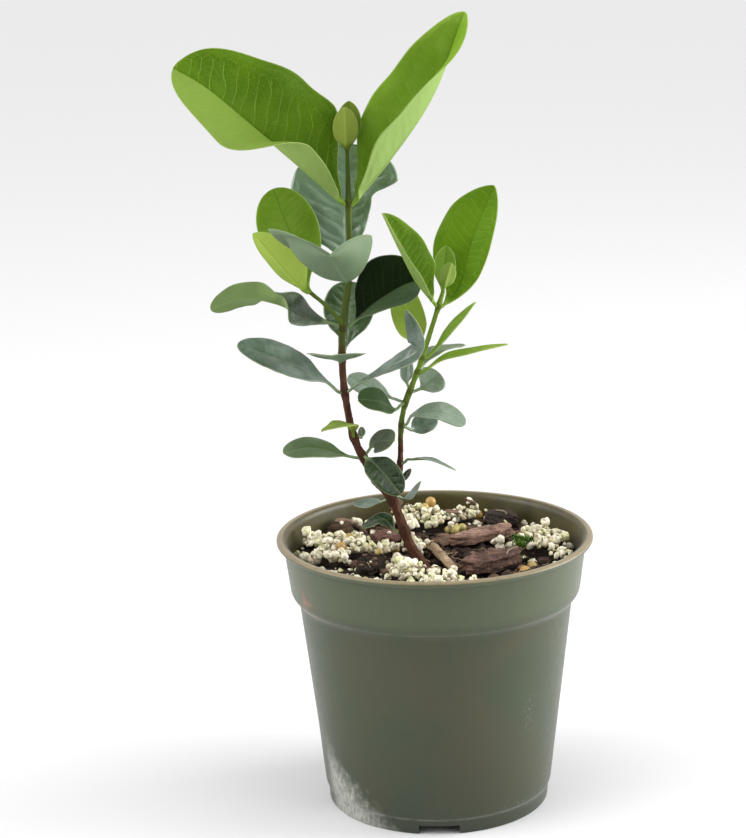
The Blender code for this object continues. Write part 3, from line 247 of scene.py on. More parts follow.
LEAVES = {
    "top_left": Leaf(
        "n6", ((-48, -3, 237), (-73, -6, 260), (-86.5, -6, 269)), 44,
        ((0.51, -0.31, 0.8), (0.5, -0.35, 0.8), (0.31, -0.7, 0.65), (0.3, -0.74, 0.6)),
        (52, 48, 20, 16), 0.5, 0.62, 0.52, 3, 8, 0.9, (1, 1), (0.86, 1.22, 1.12, 1, 0.95),
        "young", look="lit_near"),
    "top_right": Leaf(
        "n6", ((-12.6, 1, 236), (2, 3, 257), (13.5, 4, 285)), 35.5,
        ((-0.76, -0.38, 0.53), (-0.72, -0.45, 0.53), (-0.5, -0.78, 0.4)),
        (58, 56, 46, 30), 0.48, 0.6, 0.62, 3, 4, 0.5, (0.86, 1, 1, 0.95, 0.86), (1, 1),
        "young", look="bright"),
    "back_broad": Leaf(
        "n5", ((-29.5, 8, 208), (-29, 14, 222), (-27, 19, 238)), 40,
        ((0, -0.9, 0.42),),
        (12, 10, 6), 0.56, 0.62, 0.5, 4, 0, 0.9, (1, 1), (0.5, 0.46, 0.44, 0.46, 1.02, 1.15),
        "old", look="sheen"),
    "front_cupped": Leaf(
        "n5", ((-29, -13, 195.2), (-31.2, -27.5, 201.4), (-33.4, -42, 209.8)), 44,
        ((0, 0.35, 0.93),),
        (0, 0), 0.52, 0.95, 0.62, 3, 100, 0, (0.72, 0.72), (1.3, 1.3), "old", look="felt", hook=(0, 14)),
    "twig_back": Leaf(
        "twig", ((-43.4, 1.0, 193), (-46.3, 2.7, 202), (-51, 5.2, 214.7), (-54.5, 6.6, 224.7)), 21.5,
        ((0.1, -0.93, 0.35),),
        (12, 8), 0.58, 0.65, 0.5, 2, 0, 0.3, tone="young", look="bright"),
    "twig_front": Leaf(
        "twig", ((-46.2, -4.8, 192.4), (-51.5, -4.3, 198.5), (-61.2, -4.2, 211)), 22,
        ((0.45, 0.75, 0.6),),
        (28, 18), 0.45, 0.66, 0.7, 2.2, tone="young", look="lime"),
    "4_right": Leaf(
        "n4", ((-20.5, 2, 183.5), (-10, 5.5, 189.2), (-4.2, 7, 190.8)), 27,
        ((-0.42, -0.68, 0.59), (-0.2, -0.75, 0.6)),
        (34, 28), 0.62, 0.85, 0.5, 3.2, 6, tone="old", look="dark"),
    "4_left": Leaf(
        "n4", ((-44, -2, 180.5), (-54, -4, 186), (-66, -5, 188), (-77, -6, 184.5)), 13.5,
        ((0.2, -0.85, 0.45), (0.2, -0.85, 0.45), (0.2, -0.85, 0.45), (0, 0.1, 1),
         (0, 0.8, 0.55), (0, 0.85, 0.5), (0, 0.85, 0.45)),
        (14, 20, 32, 20, 10), 0.5, 0.5, 0.45, 4, look="twisted"),
    "3_back": Leaf(
        "n3", ((-30, 6, 171), (-29, 12, 181), (-27.5, 16, 189)), 18.5,
        ((0, -0.85, 0.5), (0, -0.9, 0.4)),
        (18, 10), 0.6, 0.75, 0.45, 3, tone="old", look="wet"),
    "3_front": Leaf(
        "n3", ((-32, -8, 165.5), (-33, -17, 168.8), (-34, -26, 171.8)), 21,
        ((0, 0.3, 0.95),),
        (15, 9), 0.55, 0.8, 0.6, 3, look="felt"),
    "2_left": Leaf(
        "n2", ((-37, -2, 156.5), (-45, -4, 161.5), (-57, -6, 167.5), (-68, -7, 172)), 15.5,
        ((-0.2, -0.45, 0.87),),
        (14, 8), 0.55, 0.85, 0.55, 4, tone="blue"),
    "2_right": Leaf(
        "n2", ((-25.5, -3, 156.5), (-13, -7, 163.5), (-5, -10, 169), (-5.5, -11, 176),
               (-8.5, -10, 184)), 9,
        ((-0.3, -0.3, 0.9), (-0.3, -0.3, 0.9), (-0.5, -0.5, 0.6), (-0.6, -0.8, 0.1)),
        (14, 12), 0.5, 0.8, 0.6, 4, tone="blue"),
    "c_left": Leaf(
        "c2", ((-5.5, 4, 171), (-8.5, 7, 180), (-9.5, 8, 190)), 12,
        ((0.1, 0.95, 0.2),),
        (8, 5), 0.5, 0.7, 0.55, 3, tone="young", look="lime"),
    "c_upper": Leaf(
        "c2", ((2.5, 3, 168), (9, 2, 176), (16, 1, 184)), 8,
        ((-0.75, -0.2, 0.62),),
        (12, 8), 0.5, 0.9, 0.8, 3, tone="young", look="lime"),
    "c_right": Leaf(
        "c", ((3.5, -1.5, 164), (15, -3, 167), (27, -5, 170)), 9,
        ((-0.2, -0.1, 0.97), (-0.1, 0.0, 1)),
        (15, 8), 0.45, 0.9, 0.8, 3, tone="young", look="lime"),
    "c_back": Leaf(
        "c", ((1.5, 12, 164), (12, 22, 163.9)), 9,
        ((0, 0, 1),),
        (10, 6), 0.55, 0.9, 0.6, 3),
    "d_left": Leaf(
        "d", ((-5, -2.6, 193.2), (-11, -7.5, 206.2), (-16, -10.5, 218.2)), 19,
        ((0.68, -0.49, 0.54),),
        (52, 40), 0.45, 0.55, 0.7, 2.5, 0, 0.3, tone="young"),
    "d_right": Leaf(
        "d", ((10.4, 6.4, 189), (15, 8.5, 204), (23, 9, 224)), 20.5,
        ((-0.35, -0.85, 0.3),),
        (16, 10), 0.5, 0.65, 0.7, 2.5, 0, 0.6, (1.2, 1.35), (0.8, 0.75), "young", look="fresh"),
    "d_bud_back": Leaf(
        "d1", ((5, 5.6, 193.8), (6, 7, 203)), 8,
        ((0, -0.95, 0.2),),
        (14, 10), 0.5, 0.7, 0.6, 1.5, tone="bud", look="bud_green"),
    "d_bud_front": Leaf(
        "d1", ((5.5, -0.5, 192), (7.5, -0.5, 198.5)), 6,
        ((0, 0.95, 0.2),),
        (14, 10), 0.5, 0.6, 0.55, 1.5, tone="bud", look="bud_green"),
    "b_right": Leaf(
        "b2", ((-2.5, 2, 153.6), (3, 4, 157.6)), 12.5,
        ((0, -0.6, 0.8),),
        (10, 8), 0.6, 0.7, 0.5, 2.5, tone="blue", look="pale"),
    "b_back": Leaf(
        "b2", ((-9, 6, 155), (-8.5, 10, 161.5)), 5,
        ((-0.2, -0.85, 0.5),),
        (10, 8), 0.55, 0.8, 0.5, 2.5, tone="blue"),
    "b_left": Leaf(
        "b", ((-13.5, -3, 146.5), (-19, -7, 150.5), (-26, -10, 152)), 12.5,
        ((-0.1, -0.55, 0.83),),
        (12, 8), 0.58, 0.75, 0.5, 2.5, look="deep"),
    "b_left_back": Leaf(
        "b", ((-19, 6, 150.5), (-30, 9, 156)), 10,
        ((0.1, -0.5, 0.86),),
        (10, 6), 0.62, 0.8, 0.5, 3, tone="blue", look="pale"),
    "a_right": Leaf(
        "a", ((-6.5, -1, 144), (3, -4, 145.5), (11.5, -7, 141.5)), 8.8,
        ((0.0, -0.55, 0.83), (0.3, -0.6, 0.75)),
        (12, 8), 0.6, 0.75, 0.45, 3, look="pale"),
    "a_back": Leaf(
        "a", ((-6, 5, 137), (1, 10, 141)), 9,
        ((0, -0.6, 0.8),),
        (10, 6), 0.6, 0.8, 0.5, 2.5, tone="blue"),
    "0_left": Leaf(
        "n0", ((-33, -7, 131.5), (-43, -9, 134.5), (-53, -11, 133.5)), 12.5,
        ((0, -0.35, 0.94),),
        (10, 6), 0.6, 0.8, 0.5, 2.5),
    "0_right": Leaf(
        "n0", ((-20.4, -3.8, 134.5), (-13.5, -9.2, 136.9)), 10.5,
        ((-0.1, -0.65, 0.72),),
        (8, 6), 0.5, 0.6, 0.45, 2, tone="old", look="dusk"),
    "0_front": Leaf(
        "n0", ((-21.5, -10, 129), (-16.5, -14.5, 125), (-11.5, -18, 119.5)), 11.5,
        ((0.1, -0.65, 0.72), (0.1, -0.75, 0.6)),
        (12, 8), 0.5, 0.5, 0.5, 1.2, tone="old"),
    "1_front": Leaf(
        "n1", ((-29, -8, 142.5), (-33, -14, 144), (-39, -18, 143)), 9,
        ((0.2, 0.2, 0.96),),
        (8, 5), 0.45, 0.7, 0.8, 3, tone="bud"),
    "1_back": Leaf(
        "n1", ((-25.4, 1.5, 135.5), (-25.8, 5.5, 138)), 3.6,
        ((-0.6, -0.5, 0.6),),
        (10, 6), 0.5, 0.9, 0.6, 1.5, tone="old"),
    "fork_left": Leaf(
        "fork", ((-21, -1.5, 111.5), (-29, 2, 110.5)), 6.5,
        ((0, -0.3, 0.95),),
        (8, 6), 0.5, 0.8, 0.6, 2, tone="blue"),
    "low_left": Leaf(
        "trunk_low", ((-18.5, -4.5, 106.6), (-26, -3, 102.8)), 6.5,
        ((-0.2, -0.35, 0.9),),
        (8, 6), 0.5, 0.8, 0.7, 2, tone="old"),
    "fork_right": Leaf(
        "fork", ((-9, -2, 113.2), (-4.5, 0, 119)), 5.5,
        ((-0.4, -0.1, 0.9),),
        (8, 6), 0.5, 0.9, 0.7, 2, tone="blue"),
    "low_tiny": Leaf(
        "low", ((-10, -0.5, 121), (-8, 1, 123.5)), 3,
        ((-0.4, -0.6, 0.6),),
        (8, 6), 0.5, 0.9, 0.7, 1, tone="old"),
    "branch_thin": Leaf(
        "a0", ((-8.5, -4.5, 128.5), (-1, -7, 129), (8, -9, 125.5)), 6.5,
        ((0.1, 0.1, 0.98), (0.3, 0.1, 0.9)),
        (8, 5), 0.5, 0.9, 0.7, 3, tone="blue"),
    "bud_top_front": Leaf(
        "bud", ((-28.3, -2.6, 243), (-28.3, -2.2, 254)), 9,
        ((0, 0.98, -0.05),),
        (18, 14), 0.5, 0.7, 0.65, 1, tone="bud"),
    "bud_top_back": Leaf(
        "bud", ((-27.2, 2.6, 243), (-27, 2.2, 255.5)), 8.6,
        ((0, -0.98, -0.05),),
        (14, 10), 0.55, 0.7, 0.65, 1, tone="bud"),
}

# How each kind of leaf is finished; colours are picked on a screen, 0 to 255; lit names one half of the blade
# that is painted lighter, as painted light and sheen, with its strength and colour
PLAIN = dict(gloss=0.45, spacing=1.0, relief=0.5, rumple=0.0, pebble=0.0, rim=0.7, rib_show=0.6, lit=None)
YOUNG = dict(PLAIN, upper=(82, 118, 4), patch=(96, 132, 12), lower=(172, 198, 112), vein=(150, 184, 70),
             rib=(84, 122, 14), margin=(186, 204, 126), rough=0.5, gloss=0.16, vein_show=0.6, quilt=0.16,
             thin=0.34, taper=0.55, rib_show=0.35)
MATURE = dict(PLAIN, upper=(70, 92, 50), patch=(92, 114, 72), lower=(118, 138, 98), vein=(116, 138, 94),
              rib=(100, 122, 74), margin=(150, 162, 116), rough=0.34, vein_show=0.16, quilt=0.05,
              thin=0.06, taper=0.6, spacing=1.5, rib_show=0.35, relief=0.35, rumple=0.08, rim=0.45, gloss=0.5)
BUD = dict(PLAIN, upper=(124, 148, 50), patch=(140, 162, 64), lower=(150, 168, 72), vein=(112, 132, 44),
           rib=(88, 106, 30), margin=(182, 194, 122), rough=0.5, gloss=0.2, vein_show=0.35, quilt=0.04,
           thin=0.25, taper=0.2, spacing=1.1)
LOOKS = {
    "young": YOUNG,
    # painted light: the near half of this blade is painted paler, as if lit
    "lit_near": dict(YOUNG, lit=(-1, 0.75, (140, 166, 74))),
    # painted light: a lighter copy of the young colours, for blades that catch more light
    "bright": dict(YOUNG, upper=(120, 158, 36), patch=(138, 172, 58), lower=(156, 184, 104)),
    "fresh": dict(YOUNG, upper=(98, 138, 8), patch=(112, 152, 22)),
    # painted light: the pale lower colour stands in for light shining through the blade
    "lime": dict(YOUNG, upper=(134, 164, 48), patch=(152, 182, 72), lower=(180, 204, 92), rib=(116, 150, 40),
                 thin=0.38, vein_show=0.3),
    "mature": MATURE,
    "twisted": dict(MATURE, upper=(62, 76, 56), patch=(96, 110, 90), lower=(112, 138, 72), rumple=0.16,
                    pebble=0.5, gloss=0.6, rough=0.28),
    "blue": dict(MATURE, upper=(70, 90, 72), patch=(124, 142, 128), rough=0.22, gloss=0.75, rumple=0.14),
    # painted sheen: pale blue-grey colours stand in for the sheen on these blades
    "pale": dict(MATURE, upper=(120, 138, 118), patch=(150, 164, 150), rough=0.26, gloss=0.65),
    "deep": dict(MATURE, upper=(42, 62, 28), patch=(56, 76, 42), gloss=0.15, rough=0.45),
    "felt": dict(MATURE, upper=(86, 104, 72), patch=(104, 122, 90), lower=(94, 115, 82), vein_show=0.1,
                 relief=0.2, taper=0.2, rumple=0.0),
    "old": dict(MATURE, upper=(24, 40, 14), patch=(38, 56, 26), quilt=0.16, rumple=0.16, vein_show=0.2,
                pebble=0.6, rough=0.28, gloss=0.4),
    "wet": dict(MATURE, upper=(58, 84, 46), patch=(96, 122, 84), quilt=0.24, rumple=0.26, vein_show=0.25,
                pebble=1.0, rough=0.16, gloss=0.9),
    # painted shade and sheen: the near-black upper side is painted shade, and one half is painted lighter as
    # sheen
    "dark": dict(MATURE, upper=(14, 29, 8), patch=(22, 38, 14), quilt=0.08, rumple=0.1, vein_show=0.05,
                 rough=0.34, gloss=0.12, lit=(1, 0.65, (90, 112, 78))),
    # painted sheen: the lighter colours and the lighter half stand in for sheen, on top of the high gloss
    "sheen": dict(MATURE, upper=(80, 104, 68), patch=(108, 132, 104), quilt=0.3, rumple=0.24, rough=0.2,
                  gloss=0.9, vein_show=0.1, spacing=1.3, pebble=1.4, lit=(-1, 0.5, (124, 148, 128))),
    "dusk": dict(MATURE, upper=(54, 66, 42), patch=(72, 82, 60), gloss=0.3, rough=0.4),
    "bud": BUD,
    "bud_green": dict(BUD, upper=(112, 152, 40), patch=(128, 166, 54), lower=(150, 176, 82),
                      vein=(140, 174, 70), rib=(96, 132, 36), margin=(182, 200, 126), vein_show=0.3),
}


def unit(vectors):
    return vectors / np.maximum(np.linalg.norm(vectors, axis=-1, keepdims=True), 1e-9)


def smoothstep(low, high, value):
    t = np.clip((value - low) / (high - low), 0.0, 1.0)
    return t * t * (3 - 2 * t)


def smooth_path(points, step):
    """Points every `step` along a smooth curve through the given ones."""
    points = [np.asarray(point, float) for point in points]
    ends = [2 * points[0] - points[1], *points, 2 * points[-1] - points[-2]]
    path = []
    for before, start, end, after in zip(ends, ends[1:], ends[2:], ends[3:]):
        count = max(1, round(np.linalg.norm(end - start) / step))
        t = (np.arange(count) / count)[:, None]
        path.append(0.5 * (2 * start + (end - before) * t
                           + (2 * before - 5 * start + 4 * end - after) * t ** 2
                           + (3 * start - before - 3 * end + after) * t ** 3))
    return np.vstack([*path, points[-1]])


def blend(values, t):
    """Values read from even steps, at each t from 0 to 1; a single value holds all along."""
    values = np.asarray(values, float)
    if len(values) == 1:
        return np.repeat(values, np.size(t), axis=0)
    place = np.asarray(t) * (len(values) - 1)
    index = np.minimum(place.astype(int), len(values) - 2)
    share = place - index
    share = share * share * (3 - 2 * share)
    if values.ndim > 1:
        share = share[..., None]
    return values[index] * (1 - share) + values[index + 1] * share


def soil_top(x, y):
    """Height of the potting mix: low waves, rising a little to the back wall."""
    rise = SOIL_BACK_RISE * np.maximum(0.0, (y - 10) / 42) ** 2
    waves = np.sin(x / 8.5 + 0.6) * np.cos(y / 9.5 - 0.4) + 0.5 * np.sin((x + y) / 6.0)
    return SOIL_HEIGHT + rise + SOIL_WAVE * waves


def outer_radius(height):
    """Radius of the pot's outer wall at each height."""
    return np.interp(height, (0.0, BODY_FOOT_HEIGHT, BODY_TOP_HEIGHT, COLLAR_FOOT_HEIGHT, POT_HEIGHT),
                     (FOOT_RADIUS, BODY_FOOT_RADIUS, BODY_TOP_RADIUS, COLLAR_FOOT_RADIUS, COLLAR_TOP_RADIUS))


def shaded(colour, factor):
    """A colour made lighter or darker by a factor."""
    return tuple(min(1.0, part * factor) for part in colour)


class Value:
    """A node's output, which adds, subtracts and multiplies as a number does."""

    def __init__(self, finish, socket):
        self.finish = finish
        self.socket = socket

    def __add__(self, other):
        return self.finish.math("ADD", self, other)

    def __sub__(self, other):
        return self.finish.math("SUBTRACT", self, other)

    def __rsub__(self, other):
        return self.finish.math("SUBTRACT", other, self)

    def __mul__(self, other):
        return self.finish.math("MULTIPLY", self, other)

    def __abs__(self):
        return self.finish.math("ABSOLUTE", self)


class Finish:
    """A material with one Principled shader, and short ways to add and join its nodes."""

    def __init__(self, name, **sockets):
        self.material = bpy.data.materials.new(name)
        self.material.use_nodes = True
        self.tree = self.material.node_tree
        self.shader = self.tree.nodes["Principled BSDF"]
        for socket, value in sockets.items():
            self.set(self.shader.inputs[socket.replace("_", " ").title().replace("Ior", "IOR")], value)

    def set(self, socket, value):
        """Join a node's output to a socket, or write a number or a colour on it."""
        if isinstance(value, Value):
            value = value.socket
        if isinstance(value, bpy.types.NodeSocket):
            self.tree.links.new(value, socket)
        elif isinstance(value, tuple) and len(value) == 3 and socket.type == "RGBA":
            socket.default_value = (*value, 1.0)
        else:
            socket.default_value = value

    def node(self, kind, inputs=(), **settings):
        made = self.tree.nodes.new(kind)
        for key, value in settings.items():
            setattr(made, key, value)
        for key, value in dict(inputs).items():
            self.set(made.inputs[key], value)
        return made

    def math(self, operation, a, b=0.5, c=0.5, clamp=False):
        made = self.node("ShaderNodeMath", {0: a, 1: b, 2: c}, operation=operation, use_clamp=clamp)
        return Value(self, made.outputs[0])

    def step(self, value, low, high, start=0.0, end=1.0):
        """A smooth rise, or fall, of a value between two limits."""
        made = self.node("ShaderNodeMapRange", {"Value": value, "From Min": low, "From Max": high,
                                                "To Min": start, "To Max": end},
                         interpolation_type="SMOOTHSTEP")
        return Value(self, made.outputs["Result"])

    def mix(self, share, a, b, blend_type="MIX"):
        made = self.node("ShaderNodeMix", {0: share, 6: a, 7: b}, data_type="RGBA", blend_type=blend_type)
        return Value(self, made.outputs[2])

    def grained(self, share, colour, mask, depth):
        """A colour made lighter and darker by a mask, without a change of its mean."""
        greys = self.mix(mask, (0.5 - depth,) * 3, (0.5 + depth,) * 3)
        return self.mix(share, colour, greys, "OVERLAY")

    def split(self, vector):
        made = self.node("ShaderNodeSeparateXYZ", {0: vector})
        return [Value(self, part) for part in made.outputs]

    def attribute(self, name):
        return self.node("ShaderNodeAttribute", attribute_name=name).outputs["Vector"]

    def place(self, scale=(1, 1, 1)):
        """The piece's own coordinates in millimetres, stretched by a scale."""
        where = self.node("ShaderNodeTexCoord").outputs["Object"]
        sizes = tuple(1000.0 * part for part in scale)
        return self.node("ShaderNodeMapping", {"Vector": where, "Scale": sizes}).outputs[0]

    def noise(self, where, scale, detail=3.0, roughness=0.55, distortion=0.0):
        made = self.node("ShaderNodeTexNoise", {"Vector": where, "Scale": scale, "Detail": detail,
                                                "Roughness": roughness, "Distortion": distortion})
        return Value(self, made.outputs["Fac"])

    def cells(self, where, scale, feature="F1"):
        made = self.node("ShaderNodeTexVoronoi", {"Vector": where, "Scale": scale}, feature=feature)
        return Value(self, made.outputs["Distance"])

    def bump(self, height, strength, distance):
        made = self.node("ShaderNodeBump", {"Height": height, "Strength": strength,
                                            "Distance": distance * MM})
        self.set(self.shader.inputs["Normal"], made.outputs[0])
        return made.outputs[0]

    def colour(self, value):
        self.set(self.shader.inputs["Base Color"], value)

    def rough(self, value):
        self.set(self.shader.inputs["Roughness"], value)


def mesh_from(name, points, faces):
    """A smooth mesh from points in millimetres and lists of corners."""
    mesh = bpy.data.meshes.new(name)
    mesh.from_pydata((np.asarray(points) * MM).tolist(), [], [list(map(int, face)) for face in faces])
    mesh.validate()
    mesh.shade_smooth()
    return mesh


def write_vectors(mesh, name, values):
    """Keep three numbers for each point, for the mesh's material to read."""
    layer = mesh.attributes.new(name, "FLOAT_VECTOR", "POINT")
    layer.data.foreach_set("vector", np.asarray(values, np.float32).ravel())


def read_points(mesh):
    points = np.empty(len(mesh.vertices) * 3, np.float32)
    mesh.vertices.foreach_get("co", points)
    return points.reshape(-1, 3) / MM


def read_normals(mesh):
    normals = np.empty(len(mesh.vertices) * 3, np.float32)
    mesh.vertex_normals.foreach_get("vector", normals)
    return normals.reshape(-1, 3)


def write_points(mesh, points):
    mesh.vertices.foreach_set("co", (np.asarray(points, np.float32) * MM).ravel())
    mesh.update()


def add_piece(name, mesh, finishes, slot, *nodes):
    """Put a mesh in the scene as a piece that rides on the plant and stands for CAD nodes."""
    made = bpy.data.objects.new(name, mesh)
    bpy.context.scene.collection.objects.link(made)
    mesh.materials.clear()
    for finish in finishes:
        mesh.materials.append(finish.material)
    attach(made, "root")
    if nodes:
        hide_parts(*nodes)
    return made


def applied(made):
    """The mesh of an object with its modifiers applied; the object is removed."""
    bpy.context.view_layer.update()
    seen = made.evaluated_get(bpy.context.evaluated_depsgraph_get())
    mesh = bpy.data.meshes.new_from_object(seen)
    bpy.data.objects.remove(made, do_unlink=True)
    return mesh


def remeshed(name, source, voxel, smoothing=4):
    """A copy of a mesh rebuilt from small even faces and smoothed."""
    made = bpy.data.objects.new(name, source.copy())
    bpy.context.scene.collection.objects.link(made)
    even = made.modifiers.new("even", "REMESH")
    even.mode = "VOXEL"
    even.voxel_size = voxel * MM
    soft = made.modifiers.new("soft", "SMOOTH")
    soft.iterations = smoothing
    mesh = applied(made)
    mesh.name = name
    mesh.shade_smooth()
    return mesh


def roughen(mesh, height):
    """Move each point along its normal by a height in millimetres, given its place."""
    points = read_points(mesh)
    normals = read_normals(mesh)
    heights = np.array([height(Vector(point)) for point in points.tolist()])
    write_points(mesh, points + normals * heights[:, None])


def stem_nodes():
    """Every leaf node with its place, the stem's radius and the stem's direction there."""
    places = {}
    for path in (TRUNK_PATH, BRANCH_PATH, TWIG_PATH):
        points = [np.array(place) for place, _ in path.values()]
        last = len(points) - 1
        for index, (name, (_, radius)) in enumerate(path.items()):
            along = unit(points[min(index + 1, last)] - points[max(index - 1, 0)])
            swollen = radius * (NODE_SWELLING if index < last else 1.0)
            places.setdefault(name, (points[index], swollen, along))
    return places


def half_widths(leaf, along, taper):
    """Half the blade's width at each share of its length, from a drawn-in foot to the tip."""
    inside = np.clip(along, 1e-6, 1.0)
    warped = inside ** (math.log(0.5) / math.log(leaf.widest))
    power = np.where(warped < 0.5, leaf.foot, leaf.tip)
    half = leaf.width / 2 * np.maximum(0.0, 4 * warped * (1 - warped)) ** power
    return half * (1 - taper * (1 - smoothstep(0.0, 0.32, inside)))


def run_lengths(points):
    """Distance along a path at each of its points."""
    return np.concatenate([[0.0], np.cumsum(np.linalg.norm(np.diff(points, axis=0), axis=1))])


def leaf_rows(leaf, places, along):
    """Midrib points, directions, facings and shares of the length for each row of a leaf."""
    place, radius, stem = places[leaf.node]
    away = np.array(leaf.midrib[0], float) - place
    away = unit(away - stem * (away @ stem))
    seat = place + away * (radius + LEAF_SEAT)
    solid = run_lengths(smooth_path([seat, seat + away * LEAF_STUB, *leaf.midrib], 0.5))[-1]
    rise = np.clip(0.4 * ((np.array(leaf.midrib[0]) - place) @ stem), -HEEL_UP, HEEL_UP)
    heel = place + away * (radius + HEEL_OUT) + stem * rise
    fine = smooth_path([place + away * (0.5 * radius), heel, *leaf.midrib], 0.4)
    reach = run_lengths(fine)
    total = reach[-1]
    stalk = max(total - (solid - leaf.petiole), 1.5)
    distance = np.where(along > 0, stalk + along * (total - stalk), stalk * (1 + along))
    slope = unit(np.gradient(fine, reach, axis=0))
    middle = np.stack([np.interp(distance, reach, fine[:, k]) for k in range(3)], 1)
    onward = unit(np.stack([np.interp(distance, reach, slope[:, k]) for k in range(3)], 1))
    share = np.clip(1 - (total - distance) / solid, 0, 1)
    facing = blend(unit(np.array(leaf.up, float)), share)
    facing = unit(facing - onward * (facing * onward).sum(1, keepdims=True))
    for row in range(int((along < 0).sum()) - 1, -1, -1):
        turned = facing[row + 1] - onward[row] * (facing[row + 1] @ onward[row])
        facing[row] = unit(turned)
    return middle, onward, facing, share, distance, stalk


def leaf_look(leaf):
    return LOOKS[leaf.look or leaf.tone]


def vein_phase(across, from_foot, side, spacing, turns):
    """Which side vein each point is near: a vein runs where the value ends in a half."""
    order = from_foot / spacing
    phase = order - (VEIN_LEAN * np.abs(across) + VEIN_ARCH * across ** 2) / spacing
    phase = phase + 0.13 * np.sin(1.9 * order + turns[0]) + 0.06 * np.sin(4.3 * order + turns[1])
    phase = phase + 0.07 * np.sin(0.42 * across + 1.7 * order + turns[2])
    return phase + np.where(side > 0, VEIN_STAGGER, 0.0)[None, :]


def skin_faces(rows, cols):
    """Faces of an upper and a lower skin, each a grid of points, joined all along their rims."""
    grid = np.arange(rows * cols).reshape(rows, cols)
    below = grid + rows * cols
    top = np.stack([grid[:-1, :-1], grid[:-1, 1:], grid[1:, 1:], grid[1:, :-1]], -1).reshape(-1, 4)
    foot = np.stack([below[:-1, :-1], below[1:, :-1], below[1:, 1:], below[:-1, 1:]], -1).reshape(-1, 4)
    rims = []
    for line, other in ((grid[:, 0], below[:, 0]), (below[:, -1], grid[:, -1]),
                        (grid[-1], below[-1]), (below[0], grid[0])):
        rims.append(np.stack([line[:-1], line[1:], other[1:], other[:-1]], -1))
    return np.concatenate([top, foot, *rims])


